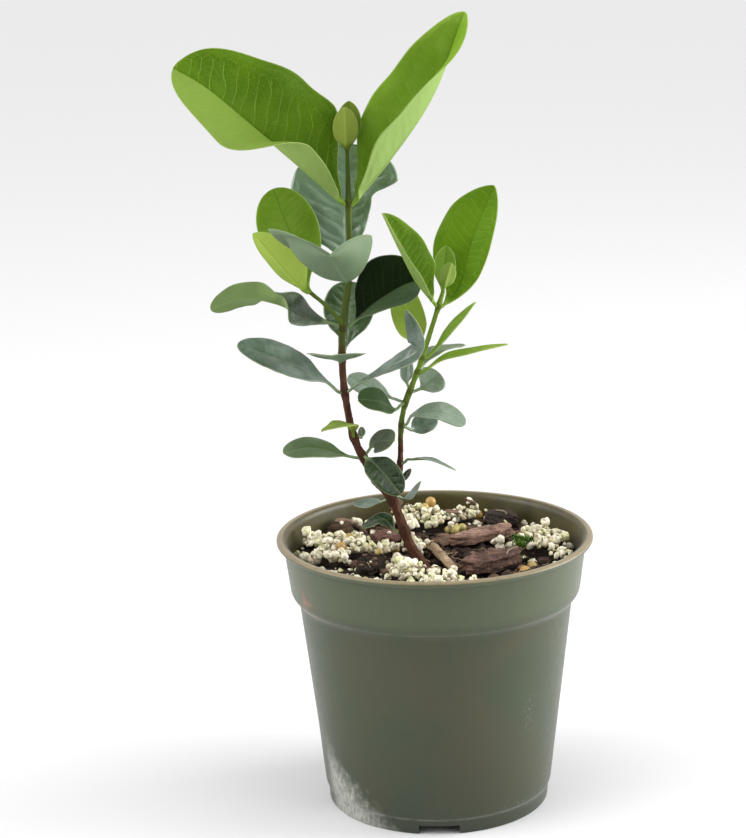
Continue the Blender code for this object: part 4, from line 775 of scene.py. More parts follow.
def leaf_mesh(name, leaf, places, seed):
    """A leaf with an upper and a lower skin, a grooved midrib and quilting between its veins."""
    look = leaf_look(leaf)
    broad = leaf.width >= BROAD_LEAF
    length = run_lengths(np.array(leaf.midrib, float))[-1]
    columns = round(MESH_COLUMNS[0] + MESH_COLUMNS[1] * leaf.width)
    count = round(MESH_ROWS[0] + MESH_ROWS[1] * length)
    stalk_rows = np.linspace(-1, 0, STALK_ROWS, endpoint=False)
    along = np.concatenate([stalk_rows, 1 - (1 - np.linspace(0, 1, count)) ** 1.4])
    side = np.linspace(-1, 1, 2 * columns + 1)
    side = np.sign(side) * np.abs(side) ** (1.5 if broad else 1.25)
    middle, onward, facing, share, distance, stalk = leaf_rows(leaf, places, along)
    right = np.cross(onward, facing)
    blade = np.clip(along, 0, 1)
    on_blade = smoothstep(0.0, 0.16, blade)[:, None]
    shares = np.where(side[None, :] > 0, blend(leaf.right, share)[:, None], blend(leaf.left, share)[:, None])
    shares = 1 + (shares - 1) * on_blade
    stalk_half = (0.46 + 0.008 * leaf.width) * (1 - 0.75 * blade) * (1 + 0.35 * smoothstep(-0.7, -1.0, along))
    spread = half_widths(leaf, along, look["taper"]) * (along > 0)
    half = np.hypot(spread, stalk_half * (1 - blade))[:, None] * shares
    half = np.maximum(half, 0.04)
    across = side[None, :] * half
    edge = np.abs(side)[None, :] * np.ones_like(half)
    hook = np.where(side < 0, leaf.hook[0], leaf.hook[1])[None, :] * smoothstep(0.7, 1.0, edge) ** 1.5
    bow = leaf.curl * np.abs(side)[None, :] ** 1.3 / 2
    angle = np.radians(blend(leaf.fold, share)[:, None] + bow - hook) * smoothstep(0.0, 0.06, blade)[:, None]
    from_foot = distance[:, None] - stalk
    chance = random.Random(seed)
    ripple = leaf.wave * side ** 2 * np.sin(WAVES * math.tau * share[:, None] + 1.5 * side)
    ripple = WAVE_SHARE * ripple * half / (leaf.width / 2) * on_blade
    lift = np.sin(angle) * np.abs(across) + ripple
    length = distance[-1] - stalk
    spacing = look["spacing"] * min(4.6, max(1.6, length / 15))
    turns = [chance.uniform(0, math.tau) for _ in range(6)]
    phase = vein_phase(across, from_foot, side, spacing, turns)
    swell = np.zeros_like(half)
    for scale, turn in zip((0.9, 1.7, 2.9), turns[3:]):
        sway = share[:, None] + 0.5 * math.sin(turn) * side[None, :]
        swell += np.sin(math.tau * scale * sway + turn) / scale
    swell *= SWELL * leaf.width * (0.2 + edge) * on_blade
    rumple = np.sin(0.75 * across + 1.4 * np.sin(0.45 * from_foot + turns[3]))
    rumple = rumple * np.sin(0.62 * from_foot + turns[4])
    rumple = look["rumple"] * rumple * smoothstep(0.5, 3.0, np.abs(across)) * on_blade
    near_vein = np.exp(-((np.abs(phase % 1 - 0.5) * spacing) / QUILT_WIDTH) ** 2)
    near_vein = near_vein * smoothstep(0.92, 0.6, edge)
    quilt = -look["quilt"] * near_vein * smoothstep(0.4, 2.5, np.abs(across)) * on_blade
    roll = -EDGE_ROLL * half * smoothstep(0.7, 1.0, edge) ** 2 * on_blade
    base = middle[:, None] + right[:, None] * (np.cos(angle) * across)[..., None]
    base = base + facing[:, None] * lift[..., None]
    normal = unit(np.cross(np.gradient(base, axis=1), np.gradient(base, axis=0)))
    normal[-2:] = normal[-3]
    base = base + normal * (swell + rumple + quilt + roll)[..., None]
    on_skin = smoothstep(0.0, 0.12, blade)[:, None]
    round_stalk = (stalk_half[:, None] * 0.95) * np.sqrt(np.clip(1 - edge ** 2, 0, 1)) + 0.02
    rib = np.exp(-(across / RIB_WIDTH) ** 2) * (1 - 0.75 * blade[:, None])
    flat = BLADE_HALF - 0.1 * edge ** 4
    over = round_stalk * (1 - on_skin) + (flat - RIB_GROOVE * rib) * on_skin
    under = round_stalk * (1 - on_skin) + (flat + RIB_RIDGE * rib) * on_skin
    upper = base + normal * over[..., None]
    lower = base - normal * under[..., None]
    rows, cols = half.shape
    points = np.concatenate([upper.reshape(-1, 3), lower.reshape(-1, 3)])
    mesh = mesh_from(name, points, skin_faces(rows, cols))

    def both(values):
        return np.tile((values + 0 * half).reshape(-1), 2)

    face = np.concatenate([np.ones(rows * cols), np.zeros(rows * cols)])
    write_vectors(mesh, "blade", np.stack([both(across), both(from_foot), both(edge)], 1))
    write_vectors(mesh, "veins", np.stack([both(phase), both(half), face], 1))
    return mesh, spacing


def leaf_finish(name, leaf, spacing):
    """Leaf skin: mottled green, side veins that join in loops, a fine net and a pale margin."""
    look = leaf_look(leaf)
    shade = {key: srgb(*look[key]) for key in ("upper", "patch", "lower", "vein", "rib", "margin")}
    made = Finish(name, specular_ior_level=look["gloss"])
    across, onward, edge = made.split(made.attribute("blade"))
    phase, half, face = made.split(made.attribute("veins"))
    fine = min(1.0, spacing / 3.2)
    wobble = made.noise(made.place(), 0.8, 2.0) - 0.5
    part = made.math("FRACT", phase + wobble * 0.12)
    off_vein = abs(part - 0.5) * spacing
    side_vein = made.step(off_vein, 0.02, 0.22 * fine, 1, 0) * made.step(edge, 0.62, 0.8, 1, 0)
    between = made.math("SINE", made.math("FRACT", phase + 0.5) * math.pi)
    sway = wobble * 0.16
    arch = between * 0.15 + (sway + 0.64)
    off_arch = abs(edge - arch) * half
    loop = made.step(off_arch, 0.02, 0.2 * fine, 0.8, 0)
    ripple = abs(made.math("SINE", phase * math.tau))
    outer = ripple * 0.07 + (sway + 0.85)
    off_outer = abs(edge - outer) * half
    outer_loop = made.step(off_outer, 0.02, 0.16 * fine, 0.4, 0)
    flat = made.node("ShaderNodeCombineXYZ", {0: across, 1: onward}).outputs[0]
    net = made.step(made.cells(flat, 0.6 / fine, "DISTANCE_TO_EDGE"), 0.005, 0.07, 0.25, 0)
    veins = made.math("MAXIMUM", made.math("MAXIMUM", side_vein, loop), made.math("MAXIMUM", outer_loop, net))
    rib = made.step(abs(across), 0.12, 0.4, 1, 0)
    patches = made.step(made.noise(made.place(), 0.07, 3.0), 0.36, 0.66)
    grain = made.noise(made.place(), 1.6, 4.0, 0.65)
    upper = made.mix(patches, shade["upper"], shade["patch"])
    upper = made.mix(veins * look["vein_show"], upper, shade["vein"])
    upper = made.mix(rib * look["rib_show"], upper, shade["rib"])
    # painted light: some looks paint one half of the blade lighter, as painted light and sheen on that half
    if look["lit"]:
        side, strength, lit = look["lit"]
        half_lit = made.step(across * side, 0.0, 0.5, 0.0, strength)
        upper = made.mix(half_lit, upper, srgb(*lit))
    felt = made.mix(grain * 0.6, shaded(shade["lower"], 1.12),
                    shaded(shade["lower"], 0.72))
    raised = made.math("MAXIMUM", veins, rib) * 0.3
    felt = made.mix(raised, felt, shaded(shade["lower"], 1.35))
    skin = made.mix(made.step(face, 0.45, 0.55), felt, upper)
    off_margin = (1.0 - edge) * half
    rim = made.step(off_margin, 0.08, 0.36, look["rim"], 0.0)
    on_blade = made.step(onward, 0.5, 3.0)
    skin = made.mix(rim * on_blade, skin, shade["margin"])
    skin = made.mix(on_blade, shade["vein"], skin)
    skin = made.grained(0.3, skin, grain, 0.2)
    made.colour(skin)
    rough = grain * 0.22 + (look["rough"] - 0.11)
    made.rough(made.math("ADD", rough, made.step(face, 0.45, 0.55, 0.35, 0.0), clamp=True))
    relief = veins * -0.7 + grain * 0.6
    if look["pebble"] > 0:
        pebbles = made.cells(flat, 0.42, "SMOOTH_F1")
        relief = made.math("MULTIPLY_ADD", pebbles, -look["pebble"], relief)
    normal = made.bump(relief, look["relief"], 0.25)
    if look["thin"] > 0:
        glow = made.node("ShaderNodeBsdfTranslucent", {"Color": skin, "Normal": normal})
        both = made.node("ShaderNodeMixShader", {0: look["thin"], 1: made.shader.outputs[0],
                                                 2: glow.outputs[0]})
        made.set(made.tree.nodes["Material Output"].inputs["Surface"], both.outputs[0])
    return made


def make_leaf(name, leaf, places, seed):
    mesh, spacing = leaf_mesh(name, leaf, places, seed)
    node = BUD_NODES.get(name, name)
    node = node if node.startswith("bud") else "leaf_" + node
    finish = leaf_finish(name + "_skin", leaf, spacing)
    return add_piece("blade_" + name, mesh, [finish], "leaf_" + leaf.tone, node)


def stem_finish(look):
    """Bark from red-brown at the foot to felted green at the top, darker at the leaf nodes."""
    made = Finish("stem_bark", roughness=0.75, specular_ior_level=0.12)
    _, ageing, ring = made.split(made.attribute("growth"))
    streak = made.noise(made.place((1, 1, 0.3)), 1.0, 5.0, 0.65)
    fine = made.noise(made.place(), 2.6, 4.0, 0.6)
    ageing = made.math("ADD", ageing, (fine - 0.5) * 0.35, clamp=True)
    wood = made.mix(streak, tuple(look.trunk_bark), shaded(look.trunk_bark, 1.8))
    flakes = made.step(made.noise(made.place((1, 1, 0.45)), 0.6, 4.0), 0.54, 0.64)
    wood = made.mix(flakes * 0.3, wood, srgb(118, 88, 66))
    green = made.mix(fine, tuple(look.green_bark), shaded(look.green_bark, 1.5))
    olive = made.mix(fine, tuple(look.olive_bark), shaded(look.olive_bark, 1.7))
    skin = made.mix(made.step(ageing, 0.05, 0.45), green, olive)
    skin = made.mix(made.step(ageing, 0.5, 0.95), skin, wood)
    skin = made.mix(ring * 0.5, skin, shaded(look.trunk_bark, 0.7))
    made.colour(skin)
    made.bump(streak * 0.8 + fine * 0.4, 0.8, 0.35)
    return made


def make_stem(look):
    source = frame["nodes"]["woody_stem"].data
    mesh = remeshed("barked_stem", source, 0.28, 6)
    points = read_points(mesh)
    paths = [smooth_path([place for place, _ in path.values()], 1.0)
             for path in (TRUNK_PATH, BRANCH_PATH, TWIG_PATH)]
    gaps = []
    for path in paths:
        gaps.append(np.min([np.linalg.norm(points - spot, axis=1) for spot in path], axis=0))
    height = points[:, 2]
    old_trunk = 0.35 + 0.15 * smoothstep(216, 186, height) + 0.5 * smoothstep(178, 160, height)
    old_branch = 0.3 * smoothstep(166, 148, height) + 0.7 * smoothstep(146, 128, height)
    ageing = np.choose(np.argmin(gaps, axis=0), [old_trunk, old_branch, np.full(len(points), 0.3)])
    rings = np.zeros(len(points))
    for path in (TRUNK_PATH, BRANCH_PATH):
        for name, (place, radius) in path.items():
            if name not in ("bend", "bud", "d1"):
                gap = np.linalg.norm(points - np.array(place), axis=1)
                rings = np.maximum(rings, smoothstep(radius * 1.75, radius * 1.25, gap))
    write_vectors(mesh, "growth", np.stack([height, ageing, rings], 1))

    def bark(place):
        old = smoothstep(185, 110, place.z)
        furrow = noise.fractal(Vector((place.x * 1.5, place.y * 1.5, place.z * 0.4)), 1.0, 2.0, 4)
        return float((0.02 + old * 0.2) * furrow + 0.05 * noise.noise(place * 2.4))

    roughen(mesh, bark)
    add_piece("barked_stem", mesh, [stem_finish(look)], "stem_bark", "woody_stem")


def pot_profile():
    """The pot's section as points of radius and height, from the inner floor up and down outside."""
    wall_top = COLLAR_TOP_RADIUS - WALL

    def bend(corner, start, end, count):
        """A rounded corner between two points."""
        corner, start, end = map(np.array, (corner, start, end))
        t = np.linspace(0, 1, count)[:, None]
        return ((1 - t) ** 2 * start + 2 * (1 - t) * t * corner + t ** 2 * end).tolist()

    lip = POT_HEIGHT
    foot_inside = outer_radius(BODY_FOOT_HEIGHT + 3) - WALL
    body_inside = BODY_TOP_RADIUS - WALL
    collar_inside = COLLAR_FOOT_RADIUS - WALL
    bends = (
        ((foot_inside - 0.6, FLOOR_TOP), (foot_inside - 3, FLOOR_TOP),
         (foot_inside, BODY_FOOT_HEIGHT + 3), 5),
        ((body_inside, BODY_TOP_HEIGHT + 0.4), (body_inside - 0.3, BODY_TOP_HEIGHT - 3),
         (body_inside + 1.2, BODY_TOP_HEIGHT + 1.9), 5),
        ((collar_inside, COLLAR_FOOT_HEIGHT + 0.5), (collar_inside - 0.8, COLLAR_FOOT_HEIGHT - 0.3),
         (collar_inside + 0.3, COLLAR_FOOT_HEIGHT + 3), 5),
        ((wall_top + 0.1, lip - 0.3), (wall_top - 0.05, lip - 2.6), (LIP_INNER_RADIUS, lip - 0.12), 9),
        ((LIP_RADIUS, lip), (LIP_RADIUS - 1.5, lip - 0.02), (LIP_RADIUS, lip - 1.0), 7),
        ((LIP_RADIUS - 0.1, lip - LIP_DROP), (LIP_RADIUS, lip - 1.2),
         (LIP_RADIUS - 1.4, lip - LIP_DROP - 0.2), 5),
        ((COLLAR_TOP_RADIUS, lip - LIP_DROP - 0.3), (COLLAR_TOP_RADIUS + 0.6, lip - LIP_DROP - 0.25),
         (COLLAR_TOP_RADIUS - 0.1, lip - LIP_DROP - 1.6), 5),
        ((COLLAR_FOOT_RADIUS, COLLAR_FOOT_HEIGHT - 0.2), (COLLAR_FOOT_RADIUS + 0.2, COLLAR_FOOT_HEIGHT + 2.0),
         (COLLAR_FOOT_RADIUS - 1.3, COLLAR_FOOT_HEIGHT - 1.2), 8),
        ((BODY_TOP_RADIUS + 0.1, BODY_TOP_HEIGHT + 0.3), (BODY_TOP_RADIUS + 0.9, BODY_TOP_HEIGHT + 1.0),
         (BODY_TOP_RADIUS - 0.1, BODY_TOP_HEIGHT - 2.0), 6),
        ((BODY_FOOT_RADIUS, BODY_FOOT_HEIGHT + 0.2),
         (outer_radius(BODY_FOOT_HEIGHT + 1.6), BODY_FOOT_HEIGHT + 1.6),
         (BODY_FOOT_RADIUS - 0.7, BODY_FOOT_HEIGHT - 0.3), 5),
        ((FOOT_RADIUS, 0.0), (FOOT_RADIUS, 0.7), (FOOT_RADIUS - 0.6, 0.0), 4),
    )
    section = [[0.0, FLOOR_TOP]]
    for corner, start, end, count in bends:
        section += bend(corner, start, end, count)
    recess = FOOT_RADIUS - FOOT_RING_WIDTH
    pad_foot = CENTRE_PAD_RADIUS + CENTRE_PAD_FLARE
    section += [[recess, 0.0], [recess, FLOOR_UNDERSIDE], [pad_foot, FLOOR_UNDERSIDE],
                [CENTRE_PAD_RADIUS, 0.0], [0.0, 0.0]]
    return section


def split_long(section, limit):
    """Add points to a profile so that no step is longer than the limit."""
    fine = [section[0]]
    for start, end in zip(section, section[1:]):
        count = max(1, math.ceil(math.dist(start, end) / limit))
        for step in range(1, count + 1):
            t = step / count
            fine.append([start[0] + (end[0] - start[0]) * t, start[1] + (end[1] - start[1]) * t])
    return fine


def pot_finish(look):
    """Weathered grey-green plastic: brown film, chalk at the foot, a dusty lip and an olive inside; painted
    shade towards the foot and painted highlights along the collar's edge and the foot step.
    """
    made = Finish("pot_plastic", specular_ior_level=0.5, sheen_weight=0.16, sheen_roughness=0.4)
    inner, lip, _ = made.split(made.attribute("wall"))
    where = made.place()
    x, y, z = made.split(where)
    round_pot = made.math("ARCTAN2", x, y * -1.0) * 57.2958
    large = made.noise(where, 0.03, 3.0, 0.5, 0.4)
    small = made.noise(where, 0.3, 5.0, 0.62)
    fine = made.noise(where, 2.2, 4.0, 0.6)
    streak = made.noise(made.place((1.0, 1.0, 0.06)), 0.5, 3.0, 0.6)

    def near(value, middle, reach):
        """1 at the middle, falling to 0 at the reach on both sides."""
        return made.step(abs(value - middle), 0.0, reach, 1.0, 0.0)

    shell = made.mix(made.step(large, 0.36, 0.66), tuple(look.plastic), tuple(look.plastic_warm))
    collar = made.step(z, COLLAR_FOOT_HEIGHT - 2, COLLAR_FOOT_HEIGHT + 4, 0.0, 0.75)
    shell = made.mix(collar, shell, tuple(look.plastic_collar))
    # painted shade: the wall is painted darker towards the foot
    low = made.step(z, 52.0, 8.0, 0.0, 0.45)
    shell = made.mix(low, shell, shaded(look.plastic, 0.55))
    # painted shade: the inset foot under the body's step is painted dark
    foot = made.step(z, BODY_FOOT_HEIGHT + 1, BODY_FOOT_HEIGHT - 2, 0.0, 0.6)
    shell = made.mix(foot, shell, srgb(42, 48, 34))
    shell = made.grained(0.22, shell, streak, 0.18)
    shell = made.grained(0.25, shell, small, 0.2)
    # painted highlight: a pale broken line along the collar's lower edge
    painted_ledge_highlight = near(z, COLLAR_FOOT_HEIGHT - 0.9, 0.7) * made.step(small, 0.3, 0.6, 0.0, 0.15)
    shell = made.mix(painted_ledge_highlight, shell, srgb(140, 150, 130))
    # painted highlight: a pale line along the step between the body and the foot
    painted_foot_highlight = near(z, BODY_FOOT_HEIGHT - 0.5, 0.5) * made.step(small, 0.35, 0.6, 0.05, 0.35)
    shell = made.mix(painted_foot_highlight, shell, srgb(150, 156, 142))
    slope = (round_pot + 26.0) * -0.62
    under = slope - z + small * 22.0
    scuff = made.step(under, 4.0, 20.0) * made.step(round_pot, -74.0, -62.0)
    scuff = scuff * made.step(made.noise(made.place((1.0, 1.0, 0.4)), 0.9, 5.0, 0.7), 0.3, 0.7, 0.3, 0.9)
    shell = made.mix(scuff * 0.8, shell, tuple(look.chalk))
    scratch = made.step(made.noise(made.place((3.0, 3.0, 0.9)), 0.8, 4.0, 0.8), 0.6, 0.66)
    right_foot = near(round_pot, 45.0, 26.0) * near(z, BODY_FOOT_HEIGHT + 0.5, 3.0)
    right_body = near(round_pot, 46.0, 7.0) * near(z, 42.0, 11.0)
    marked = made.math("MAXIMUM", right_foot, right_body) * scratch
    shell = made.mix(marked, shell, tuple(look.chalk))
    red = near(round_pot, -60.0, 7.0) * near(z, 81.5, 7.5)
    red = red * made.step(small, 0.4, 0.6)
    shell = made.mix(red * 0.7, shell, srgb(158, 92, 70))
    dots = made.step(made.cells(where, 0.16), 0.05, 0.09, 1.0, 0.0)
    dots = dots * near(round_pot, -60.0, 24.0)
    shell = made.mix(dots * 0.8, shell, srgb(44, 42, 34))
    mould = made.step(made.noise(where, 0.12, 5.0, 0.65), 0.4, 0.68)
    stained = made.mix(mould, tuple(look.inner_wall), shaded(look.inner_wall, 0.6))
    shell = made.mix(inner, shell, stained)
    dusty = lip * made.step(small, 0.25, 0.6, 0.6, 1.0)
    shell = made.mix(dusty, shell, tuple(look.lip_tan))
    made.colour(shell)
    made.rough(small * 0.22 + made.math("MULTIPLY_ADD", scuff, 0.3, 0.32))
    made.bump(fine + small * 0.6, 0.14, 0.2)
    return made


def add_cutter(name, bm, matrix, cutters):
    """Keep a shape as one of the cutters, set in its place by a matrix."""
    bmesh.ops.transform(bm, verts=bm.verts, matrix=matrix)
    shape = bpy.data.meshes.new(name)
    bm.to_mesh(shape)
    bm.free()
    cutters.objects.link(bpy.data.objects.new(name, shape))


def make_pot(look):
    section = split_long(pot_profile(), 4.0)
    bm = bmesh.new()
    corners = [bm.verts.new((radius * MM, 0, height * MM)) for radius, height in section]
    for lower, upper in zip(corners, corners[1:]):
        bm.edges.new((lower, upper))
    mesh = bpy.data.meshes.new("pot_section")
    bm.to_mesh(mesh)
    bm.free()
    turned = bpy.data.objects.new("pot_turned", mesh)
    bpy.context.scene.collection.objects.link(turned)
    screw = turned.modifiers.new("turn", "SCREW")
    screw.steps = look.segments
    screw.render_steps = look.segments
    screw.use_merge_vertices = True
    screw.merge_threshold = 1e-6
    cutters = bpy.data.collections.new("pot_cutters")
    bpy.context.scene.collection.children.link(cutters)
    width, depth, height = NOTCH_SIZE
    notch = Matrix.Translation(Vector((0, -FOOT_RADIUS, (height - 1) / 2)) * MM)
    for number in range(NOTCH_COUNT):
        turn = Matrix.Rotation(math.tau * number / NOTCH_COUNT, 4, "Z")
        bm = bmesh.new()
        bmesh.ops.create_cube(bm, size=1.0)
        size = Matrix.Diagonal((width * MM, depth * MM, (height + 1) * MM, 1.0))
        add_cutter(f"notch_{number}", bm, turn @ notch @ size, cutters)
    drain = Matrix.Translation(Vector((0, -DRAIN_CIRCLE, FLOOR_TOP)) * MM)
    for number in range(DRAIN_COUNT):
        turn = Matrix.Rotation(math.tau * number / DRAIN_COUNT, 4, "Z")
        bm = bmesh.new()
        bmesh.ops.create_cone(bm, cap_ends=True, segments=40, radius1=DRAIN_RADIUS * MM,
                              radius2=DRAIN_RADIUS * MM, depth=DRAIN_DEPTH * MM)
        add_cutter(f"drain_{number}", bm, turn @ drain, cutters)
    cut = turned.modifiers.new("notches", "BOOLEAN")
    cut.operation = "DIFFERENCE"
    cut.operand_type = "COLLECTION"
    cut.collection = cutters
    cut.solver = "EXACT"
    mesh = applied(turned)
    for cutter in list(cutters.objects):
        bpy.data.objects.remove(cutter, do_unlink=True)
    bpy.data.collections.remove(cutters)
    mesh.name = "nursery_pot"
    bm = bmesh.new()
    bm.from_mesh(mesh)
    bmesh.ops.remove_doubles(bm, verts=bm.verts, dist=1e-6)
    bmesh.ops.recalc_face_normals(bm, faces=bm.faces)
    bm.to_mesh(mesh)
    bm.free()
    points = read_points(mesh)
    radius = np.hypot(points[:, 0], points[:, 1])
    height = points[:, 2]
    inner = (radius < outer_radius(height) - WALL * 0.6) & (height > FLOOR_TOP - 0.1)
    inner = inner | ((radius < LIP_INNER_RADIUS - 0.2) & (height > POT_HEIGHT - 3))
    lip = smoothstep(LIP_INNER_RADIUS - 0.5, LIP_INNER_RADIUS - 0.05, radius)
    lip = lip * smoothstep(POT_HEIGHT - 1.0, POT_HEIGHT - 0.4, height)
    turn = np.arctan2(points[:, 1], points[:, 0])
    sway = 0.1 * np.sin(3 * turn + 0.7) + 0.06 * np.sin(5 * turn + height / 21)
    inward = smoothstep(8, 30, height) * (sway - 0.16)
    points[:, 0] += np.cos(turn) * inward
    points[:, 1] += np.sin(turn) * inward
    write_points(mesh, points)
    write_vectors(mesh, "wall", np.stack([inner * 1.0, lip, 0 * lip], 1))
    mesh.shade_smooth()
    mesh.set_sharp_from_angle(angle=math.radians(50))
    add_piece("nursery_pot", mesh, [pot_finish(look)], "pot_plastic", "pot")


def mix_finish(look):
    made = Finish("potting_mix", roughness=0.95, specular_ior_level=0.2)
    where = made.place()
    clods = made.noise(where, 0.5, 5.0, 0.65)
    specks = made.step(made.cells(where, 0.8), 0.1, 0.2, 1, 0)
    dirt = made.mix(made.step(clods, 0.35, 0.7), tuple(look.peat), shaded(look.peat, 2.6))
    dirt = made.mix(specks * 0.3, dirt, srgb(120, 108, 84))
    made.colour(dirt)
    made.bump(made.noise(where, 1.6, 6.0, 0.7), 1.0, 0.8)
    return made


def make_mix_body(look):
    """The loose mix: a plug with a rough top, closed all round."""
    rings, spokes = 100, 216
    rim = outer_radius(SOIL_HEIGHT) - WALL - SOIL_CLEAR + 0.25
    angles = math.tau * np.arange(spokes) / spokes
    cosines, sines = np.cos(angles), np.sin(angles)
    points = []
    for ring in range(1, rings + 1):
        radius = rim * ring / rings
        for x, y in zip(radius * cosines, radius * sines):
            where = Vector((x, y, 0))
            lumps = noise.fractal(where * 0.3, 1.0, 2.1, 5) * 0.9 + noise.noise(where * 1.3) * 0.4
            points.append((x, y, float(soil_top(x, y)) + lumps - 0.35))
    sides = ((outer_radius(COLLAR_FOOT_HEIGHT) - WALL - SOIL_CLEAR, COLLAR_FOOT_HEIGHT + 0.7),
             (BODY_TOP_RADIUS - WALL - SOIL_CLEAR, BODY_TOP_HEIGHT + 0.7),
             (BODY_FOOT_RADIUS - WALL - SOIL_CLEAR, BODY_FOOT_HEIGHT + 0.8),
             (FOOT_RADIUS - WALL - 3 * SOIL_CLEAR, FLOOR_TOP + SOIL_CLEAR))
    for radius, height in sides:
        points += [(x, y, height) for x, y in zip(radius * cosines, radius * sines)]
    middle = len(points)
    points.append((0, 0, float(soil_top(0, 0))))
    points.append((0, 0, FLOOR_TOP + SOIL_CLEAR))
    faces = []
    layers = rings + len(sides)
    for layer in range(layers - 1):
        for spoke in range(spokes):
            after = (spoke + 1) % spokes
            low, high = layer * spokes, (layer + 1) * spokes
            faces.append((low + spoke, high + spoke, high + after, low + after))
    last = (layers - 1) * spokes
    for spoke in range(spokes):
        after = (spoke + 1) % spokes
        faces.append((middle, spoke, after))
        faces.append((last + spoke, middle + 1, last + after))
    mesh = mesh_from("peat_mix", points, faces)
    add_piece("peat_mix", mesh, [mix_finish(look)], "potting_mix", "potting_mix")


class Ground:
    """What lies uppermost at each place inside the pot: the mix, a chip, the stick or grains."""
    START = SOIL_HEIGHT + 9

    def __init__(self):
        points, faces, self.owners = [], [], []
        for name, node in frame["nodes"].items():
            if name == "potting_mix" or name.startswith(("perlite", "bark", "wood", "prills", "woody")):
                start = len(points)
                points += [Vector(point) for point in read_points(node.data).tolist()]
                faces += [[start + corner for corner in face.vertices] for face in node.data.polygons]
                self.owners += [name] * len(node.data.polygons)
        self.tree = BVHTree.FromPolygons(points, faces)

    def top(self, x, y):
        """Height of the uppermost solid there and its name."""
        place, _, index, _ = self.tree.ray_cast(Vector((x, y, self.START)), Vector((0, 0, -1)))
        if place is None:
            return SOIL_HEIGHT, "woody_stem"
        return place.z, self.owners[index]


def ball(detail):
    """Directions of an even ball's points, and its faces."""
    bm = bmesh.new()
    bmesh.ops.create_icosphere(bm, subdivisions=detail, radius=1.0)
    points = unit(np.array([vert.co[:] for vert in bm.verts]))
    faces = np.array([[vert.index for vert in face.verts] for face in bm.faces])
    bm.free()
    return points, faces


BALLS = {detail: ball(detail) for detail in (2, 3, 4)}


class Heap:
    """Many small loose bits gathered into one mesh, each with its own tints."""

    def __init__(self, seed):
        self.points = []
        self.faces = []
        self.tints = []
        self.count = 0
        self.chance = np.random.default_rng(seed)

    def add(self, points, faces, tint=None):
        tint = self.chance.random() if tint is None else tint
        self.points.append(points)
        self.faces.append(faces + self.count)
        self.tints.append(np.tile((tint, self.chance.random(), 0.0), (len(points), 1)))
        self.count += len(points)

    def piece(self, name, finish, slot, *nodes):
        faces = [face for block in self.faces for face in block.tolist()]
        mesh = mesh_from(name, np.concatenate(self.points), faces)
        write_vectors(mesh, "bit", np.concatenate(self.tints))
        return add_piece(name, mesh, [finish], slot, *nodes)


def spun(points, chance):
    """Points turned at random about the origin."""
    turn = Matrix.Rotation(chance.uniform(0, math.tau), 3, Vector(unit(chance.normal(size=3))))
    return points @ np.array(turn).T


def popped_grain(directions, radius, chance):
    """A puffed grain: a lump covered in small round nubs."""
    nubs = unit(chance.normal(size=(int(chance.integers(10, 18)), 3)))
    closeness = directions @ nubs.T
    bulge = np.max(np.exp((closeness - 1) / 0.1) * chance.uniform(0.4, 1.0, len(nubs)), axis=1)
    size = radius * (0.7 + 0.36 * bulge)
    return spun(directions * size[:, None] * chance.uniform(0.72, 1.15, 3), chance)


def chipped_crumb(directions, radius, flat, chance):
    """An angular crumb: a lump cut by random flat faces."""
    planes = unit(chance.normal(size=(9, 3)))
    cuts = chance.uniform(0.45, 0.9, len(planes))
    facing = np.maximum(directions @ planes.T, 0.05)
    size = radius * np.minimum(np.min(cuts / facing, axis=1), 1.2)
    points = directions * size[:, None] * (chance.uniform(0.9, 1.6), chance.uniform(0.7, 1.1), flat)
    tilt = np.array(Matrix.Rotation(chance.uniform(-0.35, 0.35), 3, "X"))
    spin = np.array(Matrix.Rotation(chance.uniform(0, math.tau), 3, "Z"))
    return points @ tilt.T @ spin.T


def rod(path, radii, sides=6):
    """A closed tube along a path, as points and faces."""
    path = np.asarray(path, float)
    radii = np.broadcast_to(radii, len(path))[:, None, None]
    onward = unit(np.gradient(path, axis=0))
    across = unit(np.cross(onward, (0.31, 0.22, 0.93)))
    over = np.cross(onward, across)
    turns = (math.tau * np.arange(sides) / sides)[None, :, None]
    ring_points = path[:, None] + radii * (np.cos(turns) * across[:, None] + np.sin(turns) * over[:, None])
    faces = []
    for ring in range(len(path) - 1):
        for side in range(sides):
            after = (side + 1) % sides
            low, high = ring * sides, (ring + 1) * sides
            faces.append((low + side, low + after, high + after))
            faces.append((low + side, high + after, high + side))
    last = (len(path) - 1) * sides
    for side in range(1, sides - 1):
        faces.append((0, side + 1, side))
        faces.append((last, last + side, last + side + 1))
    return ring_points.reshape(-1, 3), np.array(faces)


def perlite_finish(look):
    """Crumbly puffed glass: cream-white nubs, some greened by algae, with brown in their hollows."""
    made = Finish("perlite", roughness=0.85, specular_ior_level=0.35)
    green, other, _ = made.split(made.attribute("bit"))
    where = made.place()
    hollows = made.step(made.noise(where, 0.9, 4.0, 0.6), 0.3, 0.56)
    shade = made.mix(hollows, tuple(look.perlite_shade), tuple(look.perlite))
    algae = made.mix(hollows, srgb(148, 148, 86), srgb(216, 216, 168))
    patchy = made.step(made.noise(where, 0.25, 3.0), 0.4, 0.6, 0.35, 1.0)
    shade = made.mix(made.step(green, 0.3, 0.9) * patchy, shade, algae)
    shade = made.mix(made.step(other, 0.88, 0.96, 0.0, 0.5), shade, srgb(176, 150, 104))
    made.colour(shade)
    made.bump(made.noise(where, 2.6, 4.0, 0.6), 0.5, 0.3)
    return made


